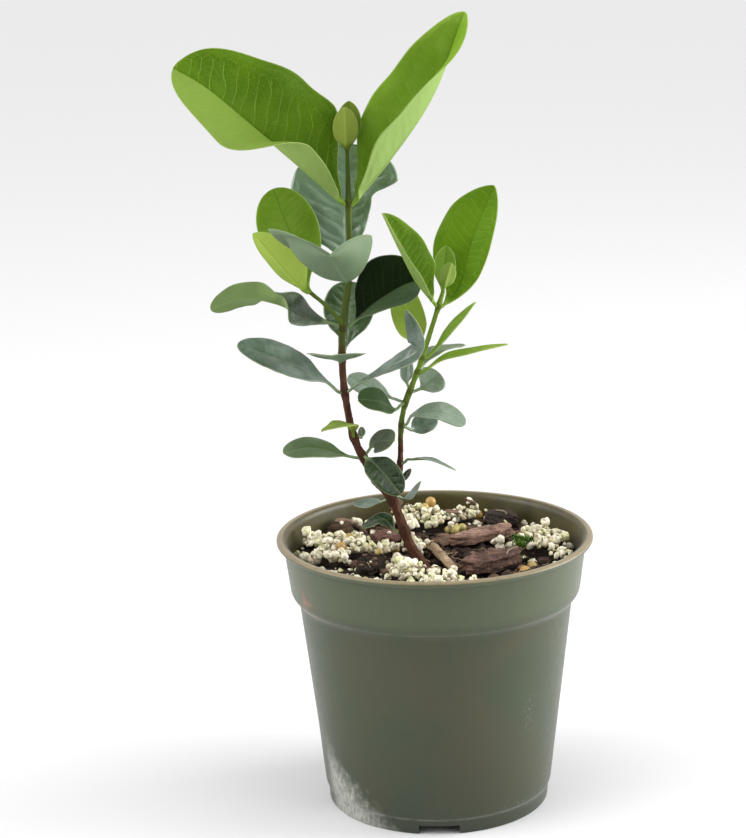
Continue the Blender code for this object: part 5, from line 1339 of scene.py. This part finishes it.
def surface_spots(source, count, chance):
    """Places spread at random over a mesh's upper and outer faces, with their normals."""
    points = read_points(source)
    corners = np.array([tuple(face.vertices)[:3] for face in source.polygons])
    first, second, third = (points[corners[:, k]] for k in range(3))
    cross = np.cross(second - first, third - first)
    normals = unit(cross)
    weight = np.linalg.norm(cross, axis=1) * (normals[:, 2] > -0.35)
    picked = chance.choice(len(corners), count, p=weight / weight.sum())
    u, v = chance.random((2, count))
    over = u + v > 1
    u, v = np.where(over, 1 - u, u)[:, None], np.where(over, 1 - v, v)[:, None]
    spots = first[picked] + (second - first)[picked] * u + (third - first)[picked] * v
    return spots, normals[picked]


def add_grain(heap, centre, radius, green):
    directions, faces = BALLS[3] if radius > 1.1 else BALLS[2]
    heap.add(popped_grain(directions, radius, heap.chance) + centre, faces, green)


def make_perlite(look):
    """Popped grains heaped over each perlite cluster."""
    for number, name in enumerate(("left", "back", "right", "front", "middle")):
        heap = Heap(40 + number)
        spots, normals = surface_spots(frame["nodes"]["perlite_" + name].data, look.grain_tries, heap.chance)
        kept = np.empty((0, 4))
        for spot, normal in zip(spots, normals):
            radius = 0.95 + 1.65 * heap.chance.random() ** 1.5
            centre = spot - normal * (0.7 * radius)
            gaps = np.linalg.norm(kept[:, :3] - centre, axis=1) - 0.72 * (kept[:, 3] + radius)
            if len(kept) and gaps.min() < 0:
                continue
            kept = np.vstack([kept, [*centre, radius]])
            add_grain(heap, centre, radius, heap.chance.random() ** 1.3)
        heap.piece("grains_" + name, perlite_finish(look), "perlite", "perlite_" + name)


def make_loose_perlite(look, ground):
    """Single grains: the larger ones at their places, the finer ones strewn round them."""
    heap = Heap(47)
    for x, y, radius, green in GRAINS:
        out = math.hypot(x, y)
        inside = min(1.0, (INNER_RIM - radius) / out)
        height, owner = ground.top(x * inside, y * inside)
        if owner != "woody_stem":
            add_grain(heap, (x * inside, y * inside, height + 0.55 * radius), radius, green)
    places = np.array([grain[:2] for grain in GRAINS])
    for _ in range(look.fine_grains):
        near = places[heap.chance.integers(len(places))]
        x, y = near + heap.chance.normal(0, 3.4, 2)
        radius = 0.45 + 1.1 * heap.chance.random() ** 1.6
        if math.hypot(x, y) < INNER_RIM - radius:
            height, owner = ground.top(x, y)
            if owner == "potting_mix" or heap.chance.random() < 0.25:
                add_grain(heap, (x, y, height + 0.4 * radius), radius, heap.chance.random() ** 1.6)
    heap.piece("grains_loose", perlite_finish(look), "perlite")


def bead_finish(look):
    made = Finish("fertiliser_beads", roughness=0.35, specular_ior_level=0.5)
    amber, _, _ = made.split(made.attribute("bit"))
    where = made.place()
    skin = made.mix(made.step(amber, 0.3, 0.8), tuple(look.bead), tuple(look.bead_amber))
    skin = made.mix(made.step(made.noise(where, 0.5, 3.0), 0.5, 0.75, 0.0, 0.45), skin, srgb(150, 150, 84))
    made.colour(skin)
    made.bump(made.noise(where, 1.6, 3.0), 0.12, 0.2)
    return made


def make_beads(look, ground):
    """Round coated beads where the CAD beads lie, and more of them strewn over the mix."""
    finish = bead_finish(look)
    for number, name in enumerate(("back", "left", "front")):
        heap = Heap(60 + number)
        mesh = remeshed("beads_" + name, frame["nodes"]["prills_" + name].data, 0.3, 3)
        corners = np.array([tuple(face.vertices) for face in mesh.polygons])
        heap.add(read_points(mesh), corners, 0.35 + 0.3 * (number % 2))
        heap.piece("beads_" + name, finish, "fertiliser_beads", "prills_" + name)
    heap = Heap(66)
    directions, faces = BALLS[3]
    for x, y, radius, amber in BEADS:
        height, _ = ground.top(x, y)
        shape = directions * radius * heap.chance.uniform(0.9, 1.05, 3)
        heap.add(shape + (x, y, height + 0.3 * radius), faces, amber)
    heap.piece("beads_loose", finish, "fertiliser_beads")


BARK_HEADINGS = {"slab": 32, "front": 36, "back": -28, "red": 20, "left": 50, "clump": 75}


def bark_finish(name, heading, dark, pale):
    """Layered bark: long fibres along the chip, paler on its broken faces."""
    made = Finish(name, roughness=0.85, specular_ior_level=0.3)
    where = made.node("ShaderNodeTexCoord").outputs["Object"]
    laid = made.node("ShaderNodeMapping", {"Vector": where, "Rotation": (0, 0, -math.radians(heading)),
                                           "Scale": (260.0, 1500.0, 1500.0)})
    fibres = made.noise(laid.outputs[0], 0.9, 5.0, 0.65, 0.4)
    patches = made.step(made.noise(made.place(), 0.16, 3.0), 0.35, 0.7)
    fine = made.noise(made.place(), 1.8, 5.0, 0.7)
    shade = made.mix(made.step(fibres, 0.3, 0.72), dark, pale)
    shade = made.mix(patches * 0.5, shade, shaded(dark, 0.5))
    shade = made.grained(0.4, shade, fine, 0.25)
    made.colour(shade)
    made.bump(fibres + fine * 0.5, 0.9, 0.7)
    return made


def make_bark():
    tones = {
        "slab": (srgb(96, 70, 60), srgb(188, 152, 132)),
        "front": (srgb(50, 35, 31), srgb(136, 102, 88)),
        "back": (srgb(40, 32, 28), srgb(96, 82, 74)),
        "red": (srgb(78, 52, 44), srgb(136, 100, 88)),
        "left": (srgb(50, 38, 26), srgb(98, 76, 52)),
        "clump": (srgb(18, 12, 8), srgb(66, 47, 33)),
    }
    for name, heading in BARK_HEADINGS.items():
        mesh = remeshed("chip_" + name, frame["nodes"]["bark_" + name].data, 0.36, 2)
        turn = math.radians(heading)
        along = Vector((math.cos(turn), math.sin(turn), 0))
        over = Vector((-math.sin(turn), math.cos(turn), 0))

        def layered(place):
            u, v = place.dot(along), place.dot(over)
            where = Vector((u * 0.09, v * 0.4, place.z * 0.7))
            layers = noise.ridged_multi_fractal(where, 1.0, 2.1, 4, 0.9, 2.0)
            chips = noise.noise(Vector((u * 0.25, v * 0.25, place.z * 0.25)))
            return 0.5 * (layers - 1.0) + 0.8 * chips - 0.1

        def crumbly(place):
            lumps, _ = noise.voronoi(place * 0.5)
            return 1.1 * (0.5 - lumps[0]) + 0.6 * noise.fractal(place * 0.9, 1.0, 2.0, 3)

        roughen(mesh, crumbly if name == "clump" else layered)
        add_piece("chip_" + name, mesh, [bark_finish("bark_" + name, heading, *tones[name])],
                  "bark_chips", "bark_" + name)


def make_stick(look):
    mesh = remeshed("split_stick", frame["nodes"]["wood_stick"].data, 0.3, 2)
    roughen(mesh, lambda place: 0.2 * noise.fractal(Vector((place.x * 1.2, place.y * 0.25, place.z * 1.2)),
                                                    1.0, 2.0, 4))
    finish = bark_finish("pale_wood", 105, srgb(150, 122, 94), tuple(look.stick))
    add_piece("split_stick", mesh, [finish], "pale_wood", "wood_stick")


def crumb_finish(name, dark, pale):
    made = Finish(name, roughness=0.9, specular_ior_level=0.25)
    own, _, _ = made.split(made.attribute("bit"))
    tone = made.math("MULTIPLY_ADD", own, 0.5, made.noise(made.place(), 0.9, 4.0) * 0.7)
    made.colour(made.mix(made.step(tone, 0.35, 0.85), dark, pale))
    made.bump(made.noise(made.place(), 2.0, 5.0, 0.65), 0.9, 0.5)
    return made


def any_place(chance, reach):
    """A random place on the mix within a radius."""
    angle, out = chance.uniform(0, math.tau), math.sqrt(chance.random()) * reach
    return out * math.cos(angle), out * math.sin(angle)


def make_crumbs(look, ground):
    """Peat crumbs, bark fines and chips strewn over the mix, each a little sunk in it."""
    peat, fines = Heap(71), Heap(72)
    kinds = ((peat, look.crumbs, 0.5, 2.2, 0.7), (fines, look.crumbs // 2, 0.8, 2.6, 0.45))
    for heap, count, low, high, flat in kinds:
        for _ in range(count):
            radius = low + (high - low) * heap.chance.random() ** 2
            x, y = any_place(heap.chance, INNER_RIM - 1.3 * radius)
            height, owner = ground.top(x, y)
            if owner == "potting_mix" or (owner == "bark_clump" and radius < 1.3):
                directions, faces = BALLS[3] if radius > 1.7 else BALLS[2]
                shape = chipped_crumb(directions, radius, flat, heap.chance)
                heap.add(shape + (x, y, height + 0.25 * radius), faces)
    for x, y, length, width, heading in CHIPS:
        height, owner = ground.top(x, y)
        directions, faces = BALLS[4]
        planes = unit(fines.chance.normal(size=(12, 3)))
        cuts = fines.chance.uniform(0.5, 0.85, len(planes))
        size = np.minimum(np.min(cuts / np.maximum(directions @ planes.T, 0.05), axis=1), 1.1)
        shape = directions * size[:, None] * (length, width, 1.1)
        lean = Matrix.Rotation(fines.chance.uniform(-0.5, 0.5), 3, "Y")
        lean = Matrix.Rotation(math.radians(heading), 3, "Z") @ lean
        fines.add(shape @ np.array(lean).T + (x, y, height + 0.7), faces)
    peat.piece("peat_crumbs", crumb_finish("peat", srgb(28, 21, 17), srgb(84, 66, 52)), "potting_mix")
    fines.piece("bark_fines", crumb_finish("fines", srgb(44, 32, 26), srgb(126, 100, 82)), "bark_chips")


def make_fibres(look, ground):
    """Root fibres, pale twiglets and a tuft of moss on the mix."""
    fibres = Heap(74)
    steps = np.linspace(-0.5, 0.5, 9)
    for _ in range(look.fibres):
        x, y = any_place(fibres.chance, INNER_RIM - 6)
        turn, length = fibres.chance.uniform(0, math.tau), fibres.chance.uniform(3, 11)
        bent = turn + fibres.chance.uniform(-0.9, 0.9) * steps
        spots = np.stack([x + length * steps * np.cos(bent), y + length * steps * np.sin(bent)], 1)
        lift = fibres.chance.uniform(0.2, 1.4)
        tops = [ground.top(*spot)[0] + 0.1 + lift * (0.5 + share) for spot, share in zip(spots, steps)]
        if max(tops) - min(tops) < 4:
            points, faces = rod(np.column_stack([spots, tops]), fibres.chance.uniform(0.1, 0.22), 5)
            fibres.add(points, faces)
    fibres.piece("root_fibres", crumb_finish("fibres", srgb(70, 52, 38), srgb(170, 150, 118)), "potting_mix")
    twigs = Heap(75)
    for path in PALE_TWIGLETS:
        spots = smooth_path([(x, y, float(soil_top(x, y)) + lift) for x, y, lift in path], 0.8)
        twigs.add(*rod(spots, 0.42, 7))
    straw = crumb_finish("twiglets", srgb(150, 134, 84), srgb(206, 194, 146))
    twigs.piece("pale_twiglets", straw, "pale_wood")
    moss = Heap(76)
    for x, y in MOSS_TUFTS:
        for dx, dy in moss.chance.normal(0, 1.1, (80, 2)):
            root = np.array((x + dx, y + dy, ground.top(x + dx, y + dy)[0] - 0.1))
            lean = np.array((*moss.chance.normal(0, 0.5, 2), 1.0)) * moss.chance.uniform(0.7, 1.9)
            moss.add(*rod([root, root + lean * 0.6, root + lean], (0.22, 0.2, 0.04), 4))
    moss.piece("moss", crumb_finish("moss", srgb(44, 70, 20), srgb(112, 150, 52)), "potting_mix")


SENSOR_WIDTH = 36

# Direction, outer and inner cosine and brightness added to the white surroundings
SOFT_PANELS = (
    ((0.0, -0.98, 0.12), 0.3, 0.9, -0.9),
    ((0.9, -0.2, 0.2), 0.62, 0.95, 3.0),
    ((-0.94, -0.15, 0.2), 0.62, 0.95, 2.0),
    ((-0.45, -0.3, 0.85), 0.8, 0.97, 1.4),
)


def make_world(look):
    """White surroundings, darker on the camera's side, with soft bright panels round them."""
    world = bpy.data.worlds.new("studio")
    world.use_nodes = True
    tree = world.node_tree
    back = tree.nodes["Background"]
    back.inputs["Strength"].default_value = look.ambient
    toward = tree.nodes.new("ShaderNodeTexCoord").outputs["Generated"]
    level = tree.nodes.new("ShaderNodeValue").outputs[0]
    level.default_value = 1.0
    for towards, outer, inner, amount in SOFT_PANELS:
        lean = tree.nodes.new("ShaderNodeVectorMath")
        lean.operation = "DOT_PRODUCT"
        tree.links.new(toward, lean.inputs[0])
        lean.inputs[1].default_value = Vector(towards).normalized()
        ramp = tree.nodes.new("ShaderNodeMapRange")
        ramp.interpolation_type = "SMOOTHSTEP"
        for socket, value in (("From Min", outer), ("From Max", inner), ("To Min", 0.0), ("To Max", amount)):
            ramp.inputs[socket].default_value = value
        tree.links.new(lean.outputs["Value"], ramp.inputs["Value"])
        total = tree.nodes.new("ShaderNodeMath")
        tree.links.new(level, total.inputs[0])
        tree.links.new(ramp.outputs["Result"], total.inputs[1])
        level = total.outputs[0]
    grey = tree.nodes.new("ShaderNodeCombineColor")
    for channel in range(3):
        tree.links.new(level, grey.inputs[channel])
    tree.links.new(grey.outputs[0], back.inputs["Color"])
    return world


def make_stage(look):
    scene = bpy.context.scene
    floor = bpy.data.meshes.new("studio_floor")
    half = look.floor_size / 2
    floor.from_pydata([(-half, -half, 0), (half, -half, 0), (half, half, 0), (-half, half, 0)], [],
                      [(0, 1, 2, 3)])
    made = bpy.data.objects.new("studio_floor", floor)
    scene.collection.objects.link(made)
    paper = Finish("floor_paper", roughness=0.9, specular_ior_level=0.0, base_color=tuple(look.floor))
    floor.materials.append(paper.material)
    scene.view_settings.view_transform = "Standard"
    scene.world = make_world(look)
    lights = {
        "key_left": ((-0.8, -0.3, 0.6), 0.7, look.key),
        "fill_above": ((0.25, -0.15, 1.35), 0.8, look.top),
        "edge_right": ((0.85, 0.1, 0.32), 0.6, look.edge),
    }
    for name, (place, size, power) in lights.items():
        lamp = bpy.data.lights.new(name, "AREA")
        lamp.size = size
        lamp.energy = power
        holder = bpy.data.objects.new(name, lamp)
        scene.collection.objects.link(holder)
        holder.location = place
        aim = Vector((0, 0, look.aim_height)) - Vector(place)
        holder.rotation_euler = aim.to_track_quat("-Z", "Y").to_euler()

    yaw, pitch, roll = map(math.radians, (look.camera_yaw, look.camera_pitch, look.camera_roll))
    ahead = Vector((-math.sin(yaw) * math.cos(pitch), math.cos(yaw) * math.cos(pitch), -math.sin(pitch)))
    level = Vector((math.cos(yaw), math.sin(yaw), 0))
    above = level.cross(ahead)
    right = level * math.cos(roll) + above * math.sin(roll)
    up = above * math.cos(roll) - level * math.sin(roll)
    camera = bpy.data.cameras.new("photo_view")
    camera.lens = look.camera_lens
    camera.sensor_width = SENSOR_WIDTH
    holder = bpy.data.objects.new("photo_view", camera)
    scene.collection.objects.link(holder)
    turn = Matrix((right, up, -ahead)).transposed().to_4x4()
    holder.matrix_world = Matrix.Translation(Vector(look.camera_place)) @ turn
    scene.camera = holder


def colour(name, words, red, green, blue):
    return FloatVectorProperty(name=name, description=words, subtype="COLOR", size=3, min=0, max=1,
                               default=srgb(red, green, blue))


class PotSettings(PropertyGroup):
    segments: IntProperty(name="Segments", description="Faces round the pot", default=256, min=32, max=512)
    plastic: colour("Plastic", "Grey-green of the pot's wall", 49, 60, 36)
    plastic_warm: colour("Warm patches", "Brownish weathering on the wall", 60, 60, 36)
    plastic_collar: colour("Collar", "Greener grey of the collar", 72, 82, 56)
    inner_wall: colour("Inner wall", "Olive inside above the mix", 74, 67, 28)
    lip_tan: colour("Lip", "Dusty tan along the lip", 130, 114, 84)
    chalk: colour("Chalk", "White scuffs and lime on the wall", 196, 196, 188)


class MixSettings(PropertyGroup):
    peat: colour("Peat", "Dark of the potting mix", 30, 22, 18)
    perlite: colour("Perlite", "Face of a perlite grain", 240, 234, 214)
    perlite_shade: colour("Perlite hollows", "Hollows of a perlite grain", 178, 166, 124)
    bead: colour("Beads", "Yellow fertiliser beads", 172, 158, 92)
    bead_amber: colour("Amber beads", "Darker fertiliser beads", 176, 138, 72)
    stick: colour("Stick", "Pale face of the split stick", 204, 180, 148)
    grain_tries: IntProperty(name="Heaped grains", description="Perlite grains tried on each cluster",
                             default=700, min=10, max=4000)
    fine_grains: IntProperty(name="Fine grains", description="Fine perlite strewn on the mix", default=420,
                             min=0, max=4000)
    crumbs: IntProperty(name="Crumbs", description="Crumbs of peat strewn on the mix", default=1100, min=0,
                        max=4000)
    fibres: IntProperty(name="Fibres", description="Root fibres on the mix", default=150, min=0, max=1000)


class PlantSettings(PropertyGroup):
    trunk_bark: colour("Trunk bark", "Red-brown bark of the lower trunk", 62, 38, 26)
    olive_bark: colour("Olive bark", "Bark of the upper trunk", 66, 78, 32)
    green_bark: colour("Green bark", "Felted green of the young branch", 98, 122, 42)
    seed: IntProperty(name="Seed", description="Changes how each blade sways", default=5, min=0)


class StageSettings(PropertyGroup):
    floor_size: FloatProperty(name="Floor", description="Side of the square floor", default=16.0,
                              unit="LENGTH")
    floor: FloatVectorProperty(name="Floor colour", description="Pale paper floor", subtype="COLOR", size=3,
                               default=(0.69, 0.688, 0.696), min=0, max=1)
    ambient: FloatProperty(name="Ambient", description="Brightness of the white surroundings", default=0.74)
    key: FloatProperty(name="Key light", description="Soft light from the left", default=3.4, unit="POWER")
    top: FloatProperty(name="Top light", description="Soft light from above", default=3.6, unit="POWER")
    edge: FloatProperty(name="Edge light", description="Soft light from the right", default=7.6, unit="POWER")
    aim_height: FloatProperty(name="Aim", description="Height that the lights point at", default=0.16,
                              unit="LENGTH")
    camera_place: FloatVectorProperty(name="Camera", description="Where the camera stands", size=3,
                                      subtype="TRANSLATION", unit="LENGTH", default=(0.0, -0.850, 0.3628))
    camera_pitch: FloatProperty(name="Pitch", description="Degrees the camera looks down", default=14.536)
    camera_yaw: FloatProperty(name="Yaw", description="Degrees the camera turns left", default=1.427)
    camera_roll: FloatProperty(name="Roll", description="Degrees the camera leans", default=-1.333)
    camera_lens: FloatProperty(name="Lens", description="Focal length in millimetres", default=105.9)


class GUAVA_OT_pot(Operator):
    """Build the nursery pot"""
    bl_idname = "guava.pot"
    bl_label = "Nursery pot"

    def execute(self, context):
        make_pot(context.scene.guava_pot)
        return {"FINISHED"}


class GUAVA_OT_mix(Operator):
    """Fill the pot with potting mix, perlite, bark and fertiliser beads"""
    bl_idname = "guava.mix"
    bl_label = "Potting mix"

    def execute(self, context):
        look = context.scene.guava_mix
        ground = Ground()
        make_mix_body(look)
        make_crumbs(look, ground)
        make_fibres(look, ground)
        make_perlite(look)
        make_loose_perlite(look, ground)
        make_beads(look, ground)
        make_bark()
        make_stick(look)
        return {"FINISHED"}


class GUAVA_OT_stem(Operator):
    """Grow the woody stem with its two branches"""
    bl_idname = "guava.stem"
    bl_label = "Woody stem"

    def execute(self, context):
        make_stem(context.scene.guava_plant)
        return {"FINISHED"}


class GUAVA_OT_leaves(Operator):
    """Grow every leaf and bud on its node"""
    bl_idname = "guava.leaves"
    bl_label = "Leaves and buds"

    def execute(self, context):
        places = stem_nodes()
        seed = context.scene.guava_plant.seed
        for number, (name, leaf) in enumerate(LEAVES.items()):
            make_leaf(name, leaf, places, seed + number)
        return {"FINISHED"}


class GUAVA_OT_stage(Operator):
    """Set the floor, lights and camera"""
    bl_idname = "guava.stage"
    bl_label = "Studio"

    def execute(self, context):
        make_stage(context.scene.guava_stage)
        return {"FINISHED"}


class GUAVA_PT_panel(Panel):
    """The plant's pieces and their settings"""
    bl_idname = "GUAVA_PT_panel"
    bl_label = "Potted Guava"
    bl_space_type = "VIEW_3D"
    bl_region_type = "UI"
    bl_category = "Guava"

    def draw(self, context):
        for group, operator in SECTIONS:
            box = self.layout.box()
            settings = getattr(context.scene, group)
            for prop in settings.bl_rna.properties:
                if prop.identifier not in ("name", "rna_type"):
                    box.prop(settings, prop.identifier)
            for name in operator:
                box.operator(name)


SECTIONS = (
    ("guava_pot", ("guava.pot",)),
    ("guava_mix", ("guava.mix",)),
    ("guava_plant", ("guava.stem", "guava.leaves")),
    ("guava_stage", ("guava.stage",)),
)
SETTINGS = {"guava_pot": PotSettings, "guava_mix": MixSettings, "guava_plant": PlantSettings,
            "guava_stage": StageSettings}
CLASSES = (*SETTINGS.values(), GUAVA_OT_pot, GUAVA_OT_mix, GUAVA_OT_stem, GUAVA_OT_leaves, GUAVA_OT_stage,
           GUAVA_PT_panel)


def register():
    for made in CLASSES:
        bpy.utils.register_class(made)
    for name, settings in SETTINGS.items():
        setattr(bpy.types.Scene, name, PointerProperty(type=settings))


def unregister():
    for name in SETTINGS:
        delattr(bpy.types.Scene, name)
    for made in reversed(CLASSES):
        bpy.utils.unregister_class(made)


def main():
    register()
    bpy.ops.guava.stage()
    bpy.ops.guava.pot()
    bpy.ops.guava.mix()
    bpy.ops.guava.stem()
    bpy.ops.guava.leaves()


if __name__ == "__main__":
    main()
